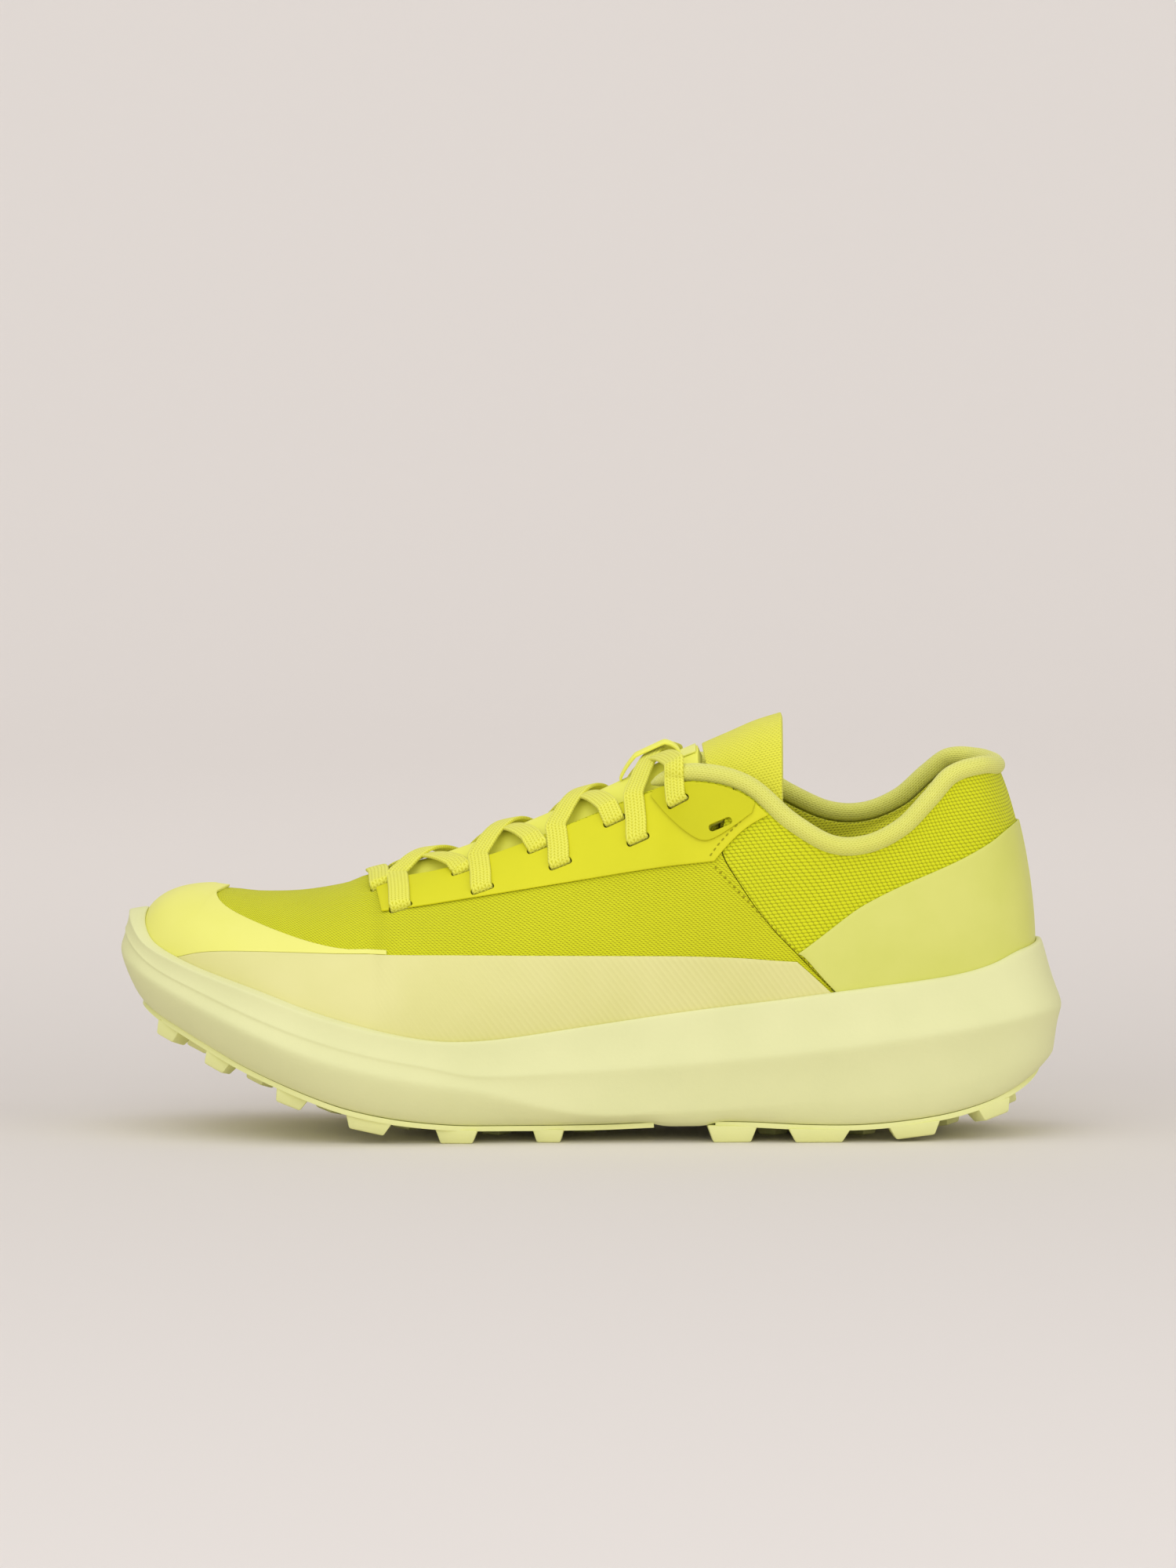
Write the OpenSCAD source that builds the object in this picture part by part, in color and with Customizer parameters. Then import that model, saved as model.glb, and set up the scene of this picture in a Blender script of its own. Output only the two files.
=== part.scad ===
// Low-cut trail running shoe, left foot. Toe at -X, heel at +X, outer side at -Y, ground at Z = 0.
// Every surface of the upper is a patch of one last surface: ribs that rise from the feather line,
// where the upper meets the sole, to the top edge, which is the ridge, the throat or the collar.

/* [Overall] */
// Length over the midsole, toe to heel
shoe_l = 300; // [245:1:360]
// Width over the midsole at the ball
ball_w = 112; // [94:1:134]
// Height of the collar at the heel
collar_h = 118; // [100:1:142]

/* [Sole] */
// Depth of the lugs under the outsole
lug_h = 4; // [2.5:0.1:6]
// Thickness of the outsole rubber between the lugs
rubber_t = 1.6; // [1:0.1:2.4]
// Width of the midsole's top rim
rim_w = 2.6; // [2:0.1:3.4]
// Thickness of the sockliner
sockliner_t = 4.5; // [3:0.1:6]
// Thickness of the board that closes the bottom of the upper
board_t = 1.2; // [0.8:0.1:1.6]

/* [Upper] */
// Thickness of the knitted mesh
mesh_t = 1.2; // [0.8:0.1:1.6]
// Thickness of the bonded overlay films
film_t = 0.7; // [0.5:0.1:1]
// Thickness of the inner lining
lining_t = 1; // [0.7:0.1:1.4]
// Thickness of the foam in the collar at its fullest
foam_t = 6; // [4:0.2:8]
// Radius of the rolled collar edge
roll_r = 3; // [2.2:0.1:3.8]
// Thickness of the tongue
tongue_t = 4; // [2.5:0.1:5]
// Space between neighbouring layers
layer_gap = 0.3; // [0.25:0.05:0.4]

/* [Lace] */
// Width of the flat lace
lace_w = 6.8; // [5:0.1:8]
// Thickness of the flat lace
lace_t = 1.3; // [0.9:0.1:1.7]
// Room round the lace in an eyelet slot
slot_gap = 0.6; // [0.4:0.05:0.9]

/* [Hidden] */
// Scale of the tables below, which hold a shoe 300 long, 112 wide and 118 high at the heel
kx = shoe_l / 300;
ky = ball_w / 112;
kz = (collar_h - lug_h) / 114;
flat_pull = 0.62;   // how blunt the outline's ends are
eps = 0.4;          // step of the finite differences, in degrees and in hundredths of a rib
ridge_angle = 119.5; // from this angle to the toe the two sides meet along a ridge

// Outline of the midsole where it is widest: angle round the last from heel to toe,
// half width on the outer side, half width on the inner side
half_w = [[0, 55, 55], [18, 56, 55.5], [36, 54, 52.5], [50, 51.5, 49.5], [66, 47, 44.5], [82, 43.5, 39.5],
          [98, 47, 42], [110, 55, 51.5], [120, 62, 59.3], [132, 65.7, 64.7], [146, 62, 61.5], [160, 55, 54],
          [180, 50, 49]];
// Sideways swing of the centre line towards the inner side
swing_tab = [[0, -2.7], [50, -2.7], [85, -2.2], [110, -0.7], [130, 1.8], [150, 4.8], [180, 7.8]];
// Underside of the sole, without its lugs: X, Z
under_tab = [[-148, 46], [-144, 41.5], [-138, 37], [-130.7, 33.1], [-121.5, 28.2], [-112, 23.2],
    [-99.8, 17.8], [-87.4, 12.9],
             [-77.5, 9.6], [-62.7, 6.4], [-47.9, 4.6], [-36, 4], [1.6, 4], [26, 4.9], [50, 4.9], [68, 4.1],
                 [84, 4],
             [97, 4.9], [110, 6.6], [120, 8.8], [130, 12.2], [139, 17.2], [144, 22.5], [148, 30]];
// Sole heights: angle, footbed, rim of the midsole, inset of the rim, widest line
sole_tab = [[0, 43, 62, 6.4, 47], [10, 42.6, 61, 6.4, 46.6], [18, 42, 59.5, 6.4, 45.6],
    [26, 41.2, 56, 6.5, 43.6], [35, 40, 53, 6.5, 41],
            [49, 37.8, 49.8, 6.2, 36.5], [59, 36, 47.2, 5.8, 32.6], [76, 32.2, 42.4, 5.2, 26.6],
                [90, 28.6, 37.4, 4.8, 22],
            [100, 26, 33.8, 4.6, 19.8], [105, 25.2, 32.8, 4.5, 19.6], [110, 25.2, 33, 4.4, 20.6],
                [117, 27, 35.7, 4.2, 23.6],
            [126, 31.8, 40.8, 4, 29], [138, 40, 48.7, 3.8, 37.6], [154, 49.5, 56.5, 3.4, 47.2],
                [165, 54, 61.5, 3, 52.6],
            [172, 56, 66, 3, 55.6], [180, 56.5, 70.5, 3, 58]];
// Top edge of the upper: angle, X of the point, half gap from the centre line, Z on the outer side, Z on the inner side
top_tab = [[0, 130.5, 0, 115, 115], [12, 129, 10.5, 115.4, 115.4], [24, 124, 19.5, 116, 116],
    [34, 115.5, 25, 113.5, 115.5],
           [40, 109, 27.5, 106.5, 110.5], [46, 100, 29.5, 97.5, 102.5], [53, 88, 31, 91.8, 97.5],
               [60, 75, 31.5, 92, 98],
           [65, 62, 30.5, 99.5, 104], [71, 48, 28, 111, 112.5], [77, 32, 24, 114.2, 114.2],
               [82, 19.5, 19, 110.6, 110.6],
           [90, -2, 16, 101.5, 101.5], [100, -26, 14.5, 91.6, 91.6], [108, -45, 13, 85.2, 85.2],
               [114, -58, 11, 82.2, 82.2],
           [117, -65, 8, 81.3, 81.3], [119.5, -70.5, 0, 82, 82], [123, -78, 0, 79.2, 79.2],
               [130, -91, 0, 76.9, 76.9],
           [138, -104, 0, 76.4, 76.4], [146, -111.5, 0, 77, 77], [156, -115.5, 0, 77.3, 77.3],
               [168, -118.5, 0, 77.6, 77.6],
           [180, -120, 0, 77.8, 77.8]];
// Shape of the ribs: angle, reach and rise of the lower handle, reach and drop of the upper handle
rib_tab = [[0, 3.6, 22, 6.5, 15], [30, 3.8, 21, 6, 17], [50, 4.2, 18, 4, 17], [66, 4.5, 22, 6, 24],
    [76, 4.5, 25, 9, 24],
           [84, 5, 25, 13, 20], [95, 6, 25, 15, 14], [106, 6, 22, 18, 10], [117, 6, 20, 22, 4],
               [124, 5, 20, 25, 0],
           [132, 5, 18, 23, 0], [146, 4, 16, 19, 0], [165, 2, 13, 17, 0], [180, 1, 13, 16, 0]];
// Centre line of the tongue: X, Z
tongue_tab = [[-72, 80.6], [-62, 84.5], [-48, 88.4], [-25, 97], [-1, 107.3], [24, 119], [34, 123.4]];
// Angle of the seam between the forefoot mesh and the rear quarter, by share of the rib's height
seam_tab = [[0, 52], [0.2, 56.5], [0.4, 61.6], [0.5, 65.4], [0.6, 69.6], [0.72, 73], [0.86, 73], [1, 72]];

// Slots down each side: X and Z on the outer side, upper row then lower row, front to rear
slots_up = [[-66.5, 79.3], [-40.4, 84], [-16.4, 91.6], [7.8, 100.5], [28.3, 107]];
slots_low = [[-60.2, 73.4], [-34.2, 78.9], [-9.5, 87], [15.2, 95], [41.2, 100.3]];

// Widest ring of the sole, and the layers of the upper measured outwards from the mesh's outer face
film_in = layer_gap;
film_out = film_in + film_t;
lining_out = -mesh_t - layer_gap;
lining_in = lining_out - lining_t;
under_gap = 0.6;     // room for the lace above and below where it runs between lining and tongue
tongue_out = lining_in - lace_t - 2 * under_gap;
tongue_in = tongue_out - tongue_t;
counter_t = 1.4;     // thickness of the heel counter and the gap beneath it
// Inset of the upper's feather line from the midsole's rim, and of what lies inside the upper
upper_inset = rim_w + 2 * layer_gap + film_t;
board_inset = upper_inset + mesh_t + 3 * layer_gap + counter_t + lining_t;
top_lift = 1.2;      // how much higher the rear crossing of the laces lies, over the collar's rolled edge

// ---------- numbers ----------
function row(tab, x, i = 0) = i >= len(tab) - 2 || x < tab[i + 1][0] ? i : row(tab, x, i + 1);
function slope(tab, i, k) =
    let (a = max(0, i - 1), b = min(len(tab) - 1, i + 1))
    (tab[b][k] - tab[a][k]) / (tab[b][0] - tab[a][0]);
// Smooth value of column k of a table at x
function smooth(tab, x, k = 1) =
    let (c = min(max(x, tab[0][0]), tab[len(tab) - 1][0]), i = row(tab, c), h = tab[i + 1][0] - tab[i][0],
         s = (c - tab[i][0]) / h, q = s * s, p = q * s)
    (2 * p - 3 * q + 1) * tab[i][k] + (p - 2 * q + s) * h * slope(tab, i, k)
    + (3 * q - 2 * p) * tab[i + 1][k] + (p - q) * h * slope(tab, i + 1, k);
function unit(v) = v / max(norm(v), 1e-9);
function mix(a, b, s) = a + (b - a) * s;
function bezier(a, b, c, d, s) =
    let (r = 1 - s) r * r * r * a + 3 * r * r * s * b + 3 * r * s * s * c + s * s * s * d;
function side_of(w) = w < 0 ? 1 : 2;

// ---------- the last ----------
// w is the angle round the last: 0 at the heel, -180 or 180 at the toe, below 0 on the outer side
function centre_y(a) = ky * smooth(swing_tab, a);
function sole_half(w) = ky * smooth(half_w, abs(w), side_of(w)) * pow(sin(abs(w)), flat_pull);
// Point of the sole's outline drawn in by inset, at height z
function sole_point(w, inset, z) =
    let (a = abs(w), share = 1 - inset / (ky * 48))
    [(shoe_l / 2 - inset) * cos(a), centre_y(a) + sign(w) * sole_half(w) * share, z];
// Height at angle w of the footbed (1), the rim (2) or the widest line (4), and of the underside at x
function sole_z(w, k) = lug_h + (smooth(sole_tab, abs(w), k) - 4) * kz;
function under_z(x) = lug_h + (smooth(under_tab, x / kx) - 4) * kz;
// The footbed at x, away from the outline
function bed_z(x) = sole_z(acos(min(max(2 * x / shoe_l, -1), 1)), 1);
function feather(w) = sole_point(w, smooth(sole_tab, abs(w), 3) + upper_inset, sole_z(w, 1) + board_t);
function top_edge(w) =
    let (a = abs(w), x = smooth(top_tab, a))
    [kx * x, centre_y(a) + sign(w) * ky * max(0, smooth(top_tab, a, 2)),
        lug_h + (smooth(top_tab, a, w < 0 ? 3 : 4) - 4) * kz];
// Point of the mesh's outer face: t is 0 at the feather line and 1 at the top edge
function last(w, t) =
    let (f = feather(w), e = top_edge(w), a = abs(w), flat = [f[0] - e[0], f[1] - e[1], 0], out = unit(flat))
    bezier(f, f + out * smooth(rib_tab, a) + [0, 0, kz * smooth(rib_tab, a, 2)],
           e + out * smooth(rib_tab, a, 3) - [0, 0, kz * smooth(rib_tab, a, 4)], e, t);
// Outward normal; along the ridge and at the toe it is made so that both sides give the same one
function last_normal(w, t) =
    let (a = abs(w), ht = [max(0, t - eps / 100), min(1, t + eps / 100)],
         up = last(w, ht[1]) - last(w, ht[0]))
    t > 0.9999 && a > ridge_angle - 0.01
        ? let (d = top_edge(min(a + eps, 180)) - top_edge(a - eps)) unit([d[2], 0, -d[0]])
    : a > 179.9 ? unit([-up[2], 0, up[0]])
    : let (hw = [max(w - eps, -180), min(w + eps, 180)], along = last(hw[1], t) - last(hw[0], t))
        unit(cross(along, up));
// Point at distance d outside the mesh's outer face
function off(w, t, d) = last(w, t) + d * last_normal(w, t);
// Share of the rib at angle w where it reaches height z
function rib_at(w, z, lo = 0, hi = 1, n = 12) =
    n == 0 ? (lo + hi) / 2 : let (m = (lo + hi) / 2) last(w, m)[2] < z ? rib_at(w, z, m, hi, n - 1)
        : rib_at(w, z, lo, m, n - 1);
// Angle of the rib that passes through x at share t
function angle_at(s, x, t, lo = 20, hi = 150, n = 14) =
    n == 0 ? s * (lo + hi) / 2
    : let (m = (lo + hi) / 2) last(s * m, t)[0] > x ? angle_at(s, x, t, m, hi, n - 1) : angle_at(s, x, t,
        lo, m, n - 1);
// [w, t] of the point of side s at x and height z, both in the tables' scale
function place(s, x, z, t = 0.7, n = 5) =
    let (w = angle_at(s, kx * x, t), share = rib_at(w, lug_h + (z - 4) * kz))
    n == 0 ? [w, share] : place(s, x, z, share, n - 1);

// ---------- solids ----------
function id(layer, i, j, m, n) = (layer * m + i) * n + j;
function quad(a, b, c, d) = [[a, b, c], [a, c, d]];
// Closed shell between two grids of points. The rims of its first and last rows can be left open where they meet
// each other, and rows from ridge_from to ridge_to have no top rim, because the two sides join there.
module shell(outer, inner, ends = true, ridge_from = 1, ridge_to = 0) {
    m = len(outer);
    n = len(outer[0]);
    points = [for (g = [outer, inner]) for (r = g) for (p = r) p];
    face = [for (i = [0 : m - 2]) for (j = [0 : n - 2])
        for (f = concat(quad(id(0, i, j, m, n), id(0, i + 1, j, m, n), id(0, i + 1, j + 1, m, n),
            id(0, i, j + 1, m, n)),
                        quad(id(1, i, j, m, n), id(1, i, j + 1, m, n), id(1, i + 1, j + 1, m, n),
                            id(1, i + 1, j, m, n)))) f];
    foot = [for (i = [0 : m - 2]) for (f = quad(id(0, i, 0, m, n), id(1, i, 0, m, n), id(1, i + 1, 0, m, n),
        id(0, i + 1, 0, m, n))) f];
    top = [for (i = [0 : m - 2]) if (i < ridge_from || i >= ridge_to)
        for (f = quad(id(0, i, n - 1, m, n), id(0, i + 1, n - 1, m, n), id(1, i + 1, n - 1, m, n),
            id(1, i, n - 1, m, n))) f];
    rims = [if (ends) for (j = [0 : n - 2])
        for (f = concat(quad(id(0, 0, j, m, n), id(0, 0, j + 1, m, n), id(1, 0, j + 1, m, n),
            id(1, 0, j, m, n)),
                        quad(id(0, m - 1, j, m, n), id(1, m - 1, j, m, n), id(1, m - 1, j + 1, m, n),
                            id(0, m - 1, j + 1, m, n)))) f];
    polyhedron(points, [for (f = concat(face, foot, top, rims)) [f[2], f[1], f[0]]]);
}

// Patch of the last between depths d_in and d_out; spots is a grid of [w, t], with w rising
module patch(spots, d_in, d_out) {
    shell([for (r = spots) [for (p = r) off(p[0], p[1], d_out)]],
          [for (r = spots) [for (p = r) off(p[0], p[1], d_in)]]);
}
// The list in the order in which w rises on side s, when it is given from heel to toe
function rising(s, list) = s > 0 ? list : [for (i = [len(list) - 1 : -1 : 0]) list[i]];
function steps(n) = [for (i = [0 : n]) i / n];

// Solid from rings of points of one length, each drawn from heel to toe and back on the other side
module stack(rings, whole_heel = true) {
    m = len(rings);
    n = len(rings[0]);
    function partner(j) = (n - (whole_heel ? 0 : 1) - j) % n;
    points = [for (r = rings) for (p = r) p];
    function short(a, b, c, d) = norm(points[a] - points[c]) <= norm(points[b] - points[d]) ? quad(a, b, c,
        d) : quad(b, c, d, a);
    wall = [for (i = [0 : m - 2]) for (j = [0 : n - 1])
        for (f = short(i * n + j, i * n + (j + 1) % n, (i + 1) * n + (j + 1) % n, (i + 1) * n + j)) f];
    ladder = [for (j = [0 : n / 2]) if (j + 1 <= partner(j + 1)) for (f = quad(j, partner(j),
        partner(j + 1), j + 1))
        if (f[0] != f[1] && f[1] != f[2] && f[0] != f[2]) f];
    roof = [for (f = ladder) [for (k = [2, 1, 0]) f[k] + (m - 1) * n]];
    polyhedron(points, concat(wall, ladder, roof));
}
sole_steps = 30;
// Angles of a ring from step first to step final round each side
function ring_angles(first = 0, final = sole_steps) =
    concat([for (i = [first : final]) -ring_angle(i / sole_steps)],
           [for (i = [final : -1 : first]) if (i > 0 && i < sole_steps) ring_angle(i / sole_steps)]);
// The steps are closer at the blunt ends
function ring_angle(c) = mix(180 * c, 90 * (1 - cos(180 * c)), 0.6);
// Ring at the underside, with the inset from the outline
function under_ring(inset, raise, first = 0, final = sole_steps) =
    [for (w = ring_angles(first, final)) let (p = sole_point(w, inset, 0)) [p[0], p[1],
        under_z(p[0]) + raise]];
// Ring with the inset from the outline at the widest line, or below it by share of the way down to the underside
function wall_ring(inset, share = 0) =
    [for (w = ring_angles()) let (p = sole_point(w, foam_inset, 0)) sole_point(w, inset,
        mix(sole_z(w, 4), under_z(p[0]) + rubber_t, share))];
// Ring with the inset from the rim's, at the rim (2) or between the rim and the footbed
function rim_ring(inset, share, raise) =
    [for (w = ring_angles()) sole_point(w, smooth(sole_tab, abs(w), 3) + inset,
        mix(sole_z(w, 1), sole_z(w, 2), share) + raise)];
// Ring of the cup's inner wall, which follows the films of the upper with a gap
function cup_ring(share) = [for (w = ring_angles()) off(w,
    rib_at(w, mix(sole_z(w, 1), sole_z(w, 2) - 0.8, share)), film_out + layer_gap)];
// Ring above the footbed at an inset from the rim's; the footbed falls evenly from its edge to its middle
function floor_ring(inset, raise) =
    [for (w = ring_angles()) let (rim = smooth(sole_tab, abs(w), 3), p = sole_point(w, rim + inset, 0),
        q = sole_point(w, foam_core, 0))
        [p[0], p[1], mix(sole_z(w, 1), bed_z(q[0]), (inset - rim_w) / (foam_core - rim - rim_w)) + raise]];
// Ring on the footbed away from its edge
function bed_ring(raise) = [for (w = ring_angles()) let (p = sole_point(w, foam_core, 0)) [p[0], p[1],
    bed_z(p[0]) + raise]];

// Tube of the given radius along a line of points, in a frame whose side vector stays level
module tube(line, radius, sides) {
    n = len(line);
    ring = [for (i = [0 : n - 1])
        let (along = unit(line[min(i + 1, n - 1)] - line[max(i - 1, 0)]),
            side = unit(cross(along, [0, 0, 1])), up = cross(side, along))
        [for (k = [0 : sides - 1]) line[i] + radius * (cos(360 * k / sides) * side + sin(360 * k / sides)
            * up)]];
    wall = [for (i = [0 : n - 2]) for (k = [0 : sides - 1])
        for (f = quad(i * sides + k, i * sides + (k + 1) % sides, (i + 1) * sides + (k + 1) % sides,
            (i + 1) * sides + k)) f];
    polyhedron([for (r = ring) for (p = r) p],
               concat(wall, [[for (k = [sides - 1 : -1 : 0]) k]],
                   [[for (k = [0 : sides - 1]) (n - 1) * sides + k]]));
}

// ---------- sole ----------
foam_inset = 7;      // inset of the midsole's bottom edge
foam_core = 30;      // inset of the ring inside the top and bottom faces
fore_first = 14;     // ring step where the forefoot rubber starts
heel_final = 13;     // ring step where the heel rubber ends
module midsole() {
    color([0.88, 0.88, 0.64])
        stack([under_ring(foam_core, rubber_t), under_ring(foam_inset, rubber_t), wall_ring(2.6, 0.62),
            wall_ring(1.4, 0.25), wall_ring(0),
               [for (w = ring_angles()) sole_point(w, 1.4, mix(sole_z(w, 4), sole_z(w, 2), 0.45))],
               rim_ring(-0.4, 1, -1.2), rim_ring(0.4, 1, 0), cup_ring(1), cup_ring(0.66), cup_ring(0.33),
                   rim_ring(rim_w, 0, 0), bed_ring(0)]);
}
// Lug centred at x and y: length along the sole, width across it, turned by spin, its root that far up into the
// rubber. Where the sole is level it is cut
// off flat at the ground, elsewhere it stands square to the sole.
module lug(x, y, long, wide, spin = 0, root = 0.4) {
    z = under_z(x);
    tilt = atan((under_z(x - 1) - under_z(x + 1)) / 2);
    hull() {
        translate([x, y, z]) rotate([0, tilt, 0]) rotate([0, 0, spin]) translate([0, 0, root])
            linear_extrude(0.1) square([long, wide], center = true);
        if (z < 2 * lug_h)
            translate([x, y, z < lug_h + 1.2 ? 0 : z - lug_h * 0.9]) rotate([0, 0, spin])
                linear_extrude(0.1) square([long * 0.72, wide * 0.74], center = true);
        else
            translate([x, y, z]) rotate([0, tilt, 0]) rotate([0, 0, spin]) translate([0, 0, -lug_h])
                linear_extrude(0.1) square([long * 0.72, wide * 0.74], center = true);
    }
}
glue = 0.12;         // room between the rubber and the foam
module rubber(first, final) {
    stack([under_ring(foam_core, 0, first, final), under_ring(foam_inset + 1, 0, first, final),
           under_ring(foam_inset, rubber_t - glue, first, final), under_ring(foam_core, rubber_t - glue,
               first, final)], first == 0);
}
// X and length of the lugs along the edges
edge_lugs_fore = [[-132, 9], [-116.8, 9.4], [-94.2, 11], [-70, 15], [-42.3, 13.6], [-13.2, 10]];
edge_lugs_heel = [[44.6, 16], [72.1, 19.8], [102.1, 16.6], [126, 12]];
lug_edge = 12;       // inset of the edge lugs' centres from the widest outline
// One edge lug on each side at every x of the list
module edge_lugs(list) {
    for (e = list) for (s = [-1, 1]) {
        w = s * acos(2 * kx * e[0] / (shoe_l - 2 * lug_edge));
        p = sole_point(w, lug_edge, 0);
        lug(p[0], p[1], e[1], 11, -s * sign(e[0]) * max(3, 0.8 * abs(e[0]) - 76));
    }
}
module outsole_forefoot() {
    color([0.84, 0.86, 0.55]) union() {
        rubber(fore_first, sole_steps);
        edge_lugs(edge_lugs_fore);
        for (x = [-104, -82, -58, -30]) for (s = [-1, 1]) lug(kx * x, centre_y(acos(x / 150)) + s * ky * 11,
            9, 9, s * 35);
        for (x = [-124, -2]) lug(kx * x, centre_y(acos(x / 150)), 9, 14);
    }
}
module outsole_heel() {
    color([0.84, 0.86, 0.55]) union() {
        rubber(0, heel_final);
        edge_lugs(edge_lugs_heel);
        for (x = [58, 86, 112]) for (s = [-1, 1]) lug(kx * x, centre_y(acos(x / 150)) + s * ky * 9, 9, 9,
            s * 35);
        lug(kx * 131, centre_y(25), 9, 16, 0, 1.5);
    }
}
module strobel_board() {
    color([0.8, 0.8, 0.78])
        stack([bed_ring(layer_gap), floor_ring(board_inset, layer_gap),
               floor_ring(board_inset, layer_gap + board_t), bed_ring(layer_gap + board_t)]);
}
module sockliner() {
    bottom = board_t + 2 * layer_gap;
    color([0.75, 0.76, 0.3])
        stack([bed_ring(bottom), floor_ring(board_inset + 0.2, bottom),
               floor_ring(board_inset + 0.6, bottom + sockliner_t), bed_ring(bottom + sockliner_t)]);
}

// ---------- upper ----------
seam_half = 0.14;    // half of the seam between the two meshes, in degrees
function seam(t) = smooth(seam_tab, t);
// Horseshoe from seam to seam round the toe, as [w, t] rows with w falling on the outer side, then on the inner side
fore_cells = 14;     // rows from the end of the throat to the toe
fore_rows = concat([for (k = [0 : 11]) k / 12], [for (k = [0 : fore_cells]) 1 + k / fore_cells]);
function fore_angle(r, t) = r <= 1 ? mix(seam(t) + seam_half, ridge_angle, r) : 180 - (180 - ridge_angle)
    * pow(2 - r, blunt);
blunt = 1.35;        // how much closer the rows are at the toe and the heel
module horseshoe(d_in, d_out, cells) {
    rows = concat([for (r = fore_rows) [for (c = steps(cells)) [-fore_angle(r, c), c]]],
                  [for (i = [len(fore_rows) - 2 : -1 : 0]) [for (c = steps(cells)) [fore_angle(fore_rows[i],
                      c), c]]]);
    shell([for (r = rows) [for (p = r) off(p[0], p[1], d_in)]],
        [for (r = rows) [for (p = r) off(p[0], p[1], d_out)]],
          ridge_from = 12, ridge_to = len(rows) - 13);
}
// Slot of the lace at a place of the last, cut right through the upper
module slot(s, spot) {
    at = place(s, spot[0], spot[1]);
    n = last_normal(at[0], at[1]);
    p = last(at[0], at[1]);
    long = unit(cross(cross(n, slot_run), n));
    half = lace_w / 2 - lace_t / 2;
    hull() for (e = [-1, 1]) translate(p + e * half * long)
        multmatrix([[long[0], cross(n, long)[0], n[0], 0], [long[1], cross(n, long)[1], n[1], 0],
            [long[2], cross(n, long)[2], n[2], 0]])
            cylinder(r = lace_t / 2 + slot_gap, h = 12, center = true, $fn = 12);
}
slot_run = unit([1, 0, 0.42]);     // the way the slots' length runs
module slots(s) {
    for (spot = concat(slots_up, slots_low)) slot(s, spot);
}
module vamp_mesh() {
    color([0.87, 0.88, 0.2]) difference() {
        horseshoe(-mesh_t, 0, 9);
        slots(-1);
        slots(1);
    }
}
module vamp_lining() {
    color([0.85, 0.86, 0.35]) difference() {
        horseshoe(lining_in, lining_out, 7);
        slots(-1);
        slots(1);
    }
}
rear_rows = [for (k = [-14 : 14]) sign(k) * pow(abs(k) / 14, blunt)];
// Rear patch from seam to seam round the heel, without the rows left off at its ends; depths are functions of [w, t]
module rear(shares, d_in, d_out, off_ends = 0) {
    rows = [for (k = [off_ends : len(rear_rows) - 1 - off_ends])
        [for (t = shares) [rear_rows[k] * (seam(t) - seam_half), t]]];
    shell([for (r = rows) [for (i = [0 : len(r) - 1]) off(r[i][0], r[i][1], d_out(r[i]))]],
          [for (r = rows) [for (i = [0 : len(r) - 1]) off(r[i][0], r[i][1], d_in(r[i]))]]);
}
// What lies between mesh and lining at the back: the counter low down, the foam higher up
foam_from = 0.42;    // share of the rib where the foam starts
function fullness(p) = let (up = (p[1] - foam_from) / (1 - foam_from),
    front = smooth([[0, 1], [48, 1], [62, 0.35], [74, 0.12]], abs(p[0])))
    p[1] <= foam_from ? 0 : front * sin(180 * min(max(up, 0), 1));
function padding(p) = max(counter_t, foam_t * fullness(p));
module rear_quarter() {
    color([0.84, 0.85, 0.12]) rear(steps(8), function(p) -mesh_t, function(p) 0);
}
module collar_foam() {
    shares = [for (k = [0 : 6]) mix(foam_from + 0.04, 0.96, k / 6)];
    color([0.9, 0.9, 0.85])
        rear(shares, function(p) -mesh_t - layer_gap - max(0.6, foam_t * fullness(p)),
            function(p) -mesh_t - layer_gap, 1);
}
module collar_lining() {
    color([0.62, 0.62, 0.14])
        rear([for (k = [0 : 9]) 0.975 * k / 9], function(p) lining_depth(p) - lining_t,
            function(p) lining_depth(p));
}
function lining_depth(p) = -mesh_t - 2 * layer_gap - padding(p);
module heel_counter() {
    color([0.9, 0.9, 0.9])
        patch([for (k = [-8 : 8]) [for (c = steps(4)) [44 * k / 8, mix(0.02, foam_from, c)]]],
              -mesh_t - layer_gap - (counter_t - layer_gap), -mesh_t - layer_gap);
}
// ---------- overlays ----------
mud_top = [[60, 59.1], [120, 59.1], [140, 59.6], [150, 59], [160, 56]];   // angle, top edge of the mudguard
mud_row = 21;        // row of the forefoot mesh where the mudguard ends at the toe
film_end = 0.985;    // share of the rib where the films stop below the top edge
function mud_share(w) = rib_at(w, lug_h + (smooth(mud_top, abs(w)) - 4) * kz);
module mudguard(s) {
    grid = [for (k = [0 : mud_row]) let (r = fore_rows[k], top = mud_share(s * fore_angle(r, 0.4)))
        [for (c = steps(5)) let (t = mix(0.01, top, c)) [s * fore_angle(r, t), t]]];
    color([0.9, 0.88, 0.6]) patch(rising(s, grid), film_in, film_out);
}
// angle, top edge of the heel overlay
heel_top = [[0, 99.5], [10, 99], [20, 96.5], [35, 88], [52, 75.5], [62, 59.5]];
strip_half = 1.4;    // half width of the heel strip, in degrees
module heel_overlay(s) {
    grid = [for (k = [0 : 15]) [for (c = steps(7))
        let (front = seam(0.41 * c) - seam_half, w = s * mix(strip_half + 0.2, front, pow(k / 15, blunt)),
             t = rib_at(w, lug_h + (smooth(heel_top, abs(w)) - 4) * kz)) [w, mix(0.01, t, c)]]];
    color([0.83, 0.84, 0.45]) patch(rising(s, grid), film_in, film_out);
}
module heel_strip() {
    top = rib_at(0, lug_h + (heel_top[0][1] - 4) * kz);
    color([0.85, 0.86, 0.5])
        patch([for (w = [-strip_half, 0, strip_half]) [for (c = steps(8)) [w, mix(0.01, top, c)]]], film_in,
            film_out);
}
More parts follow.
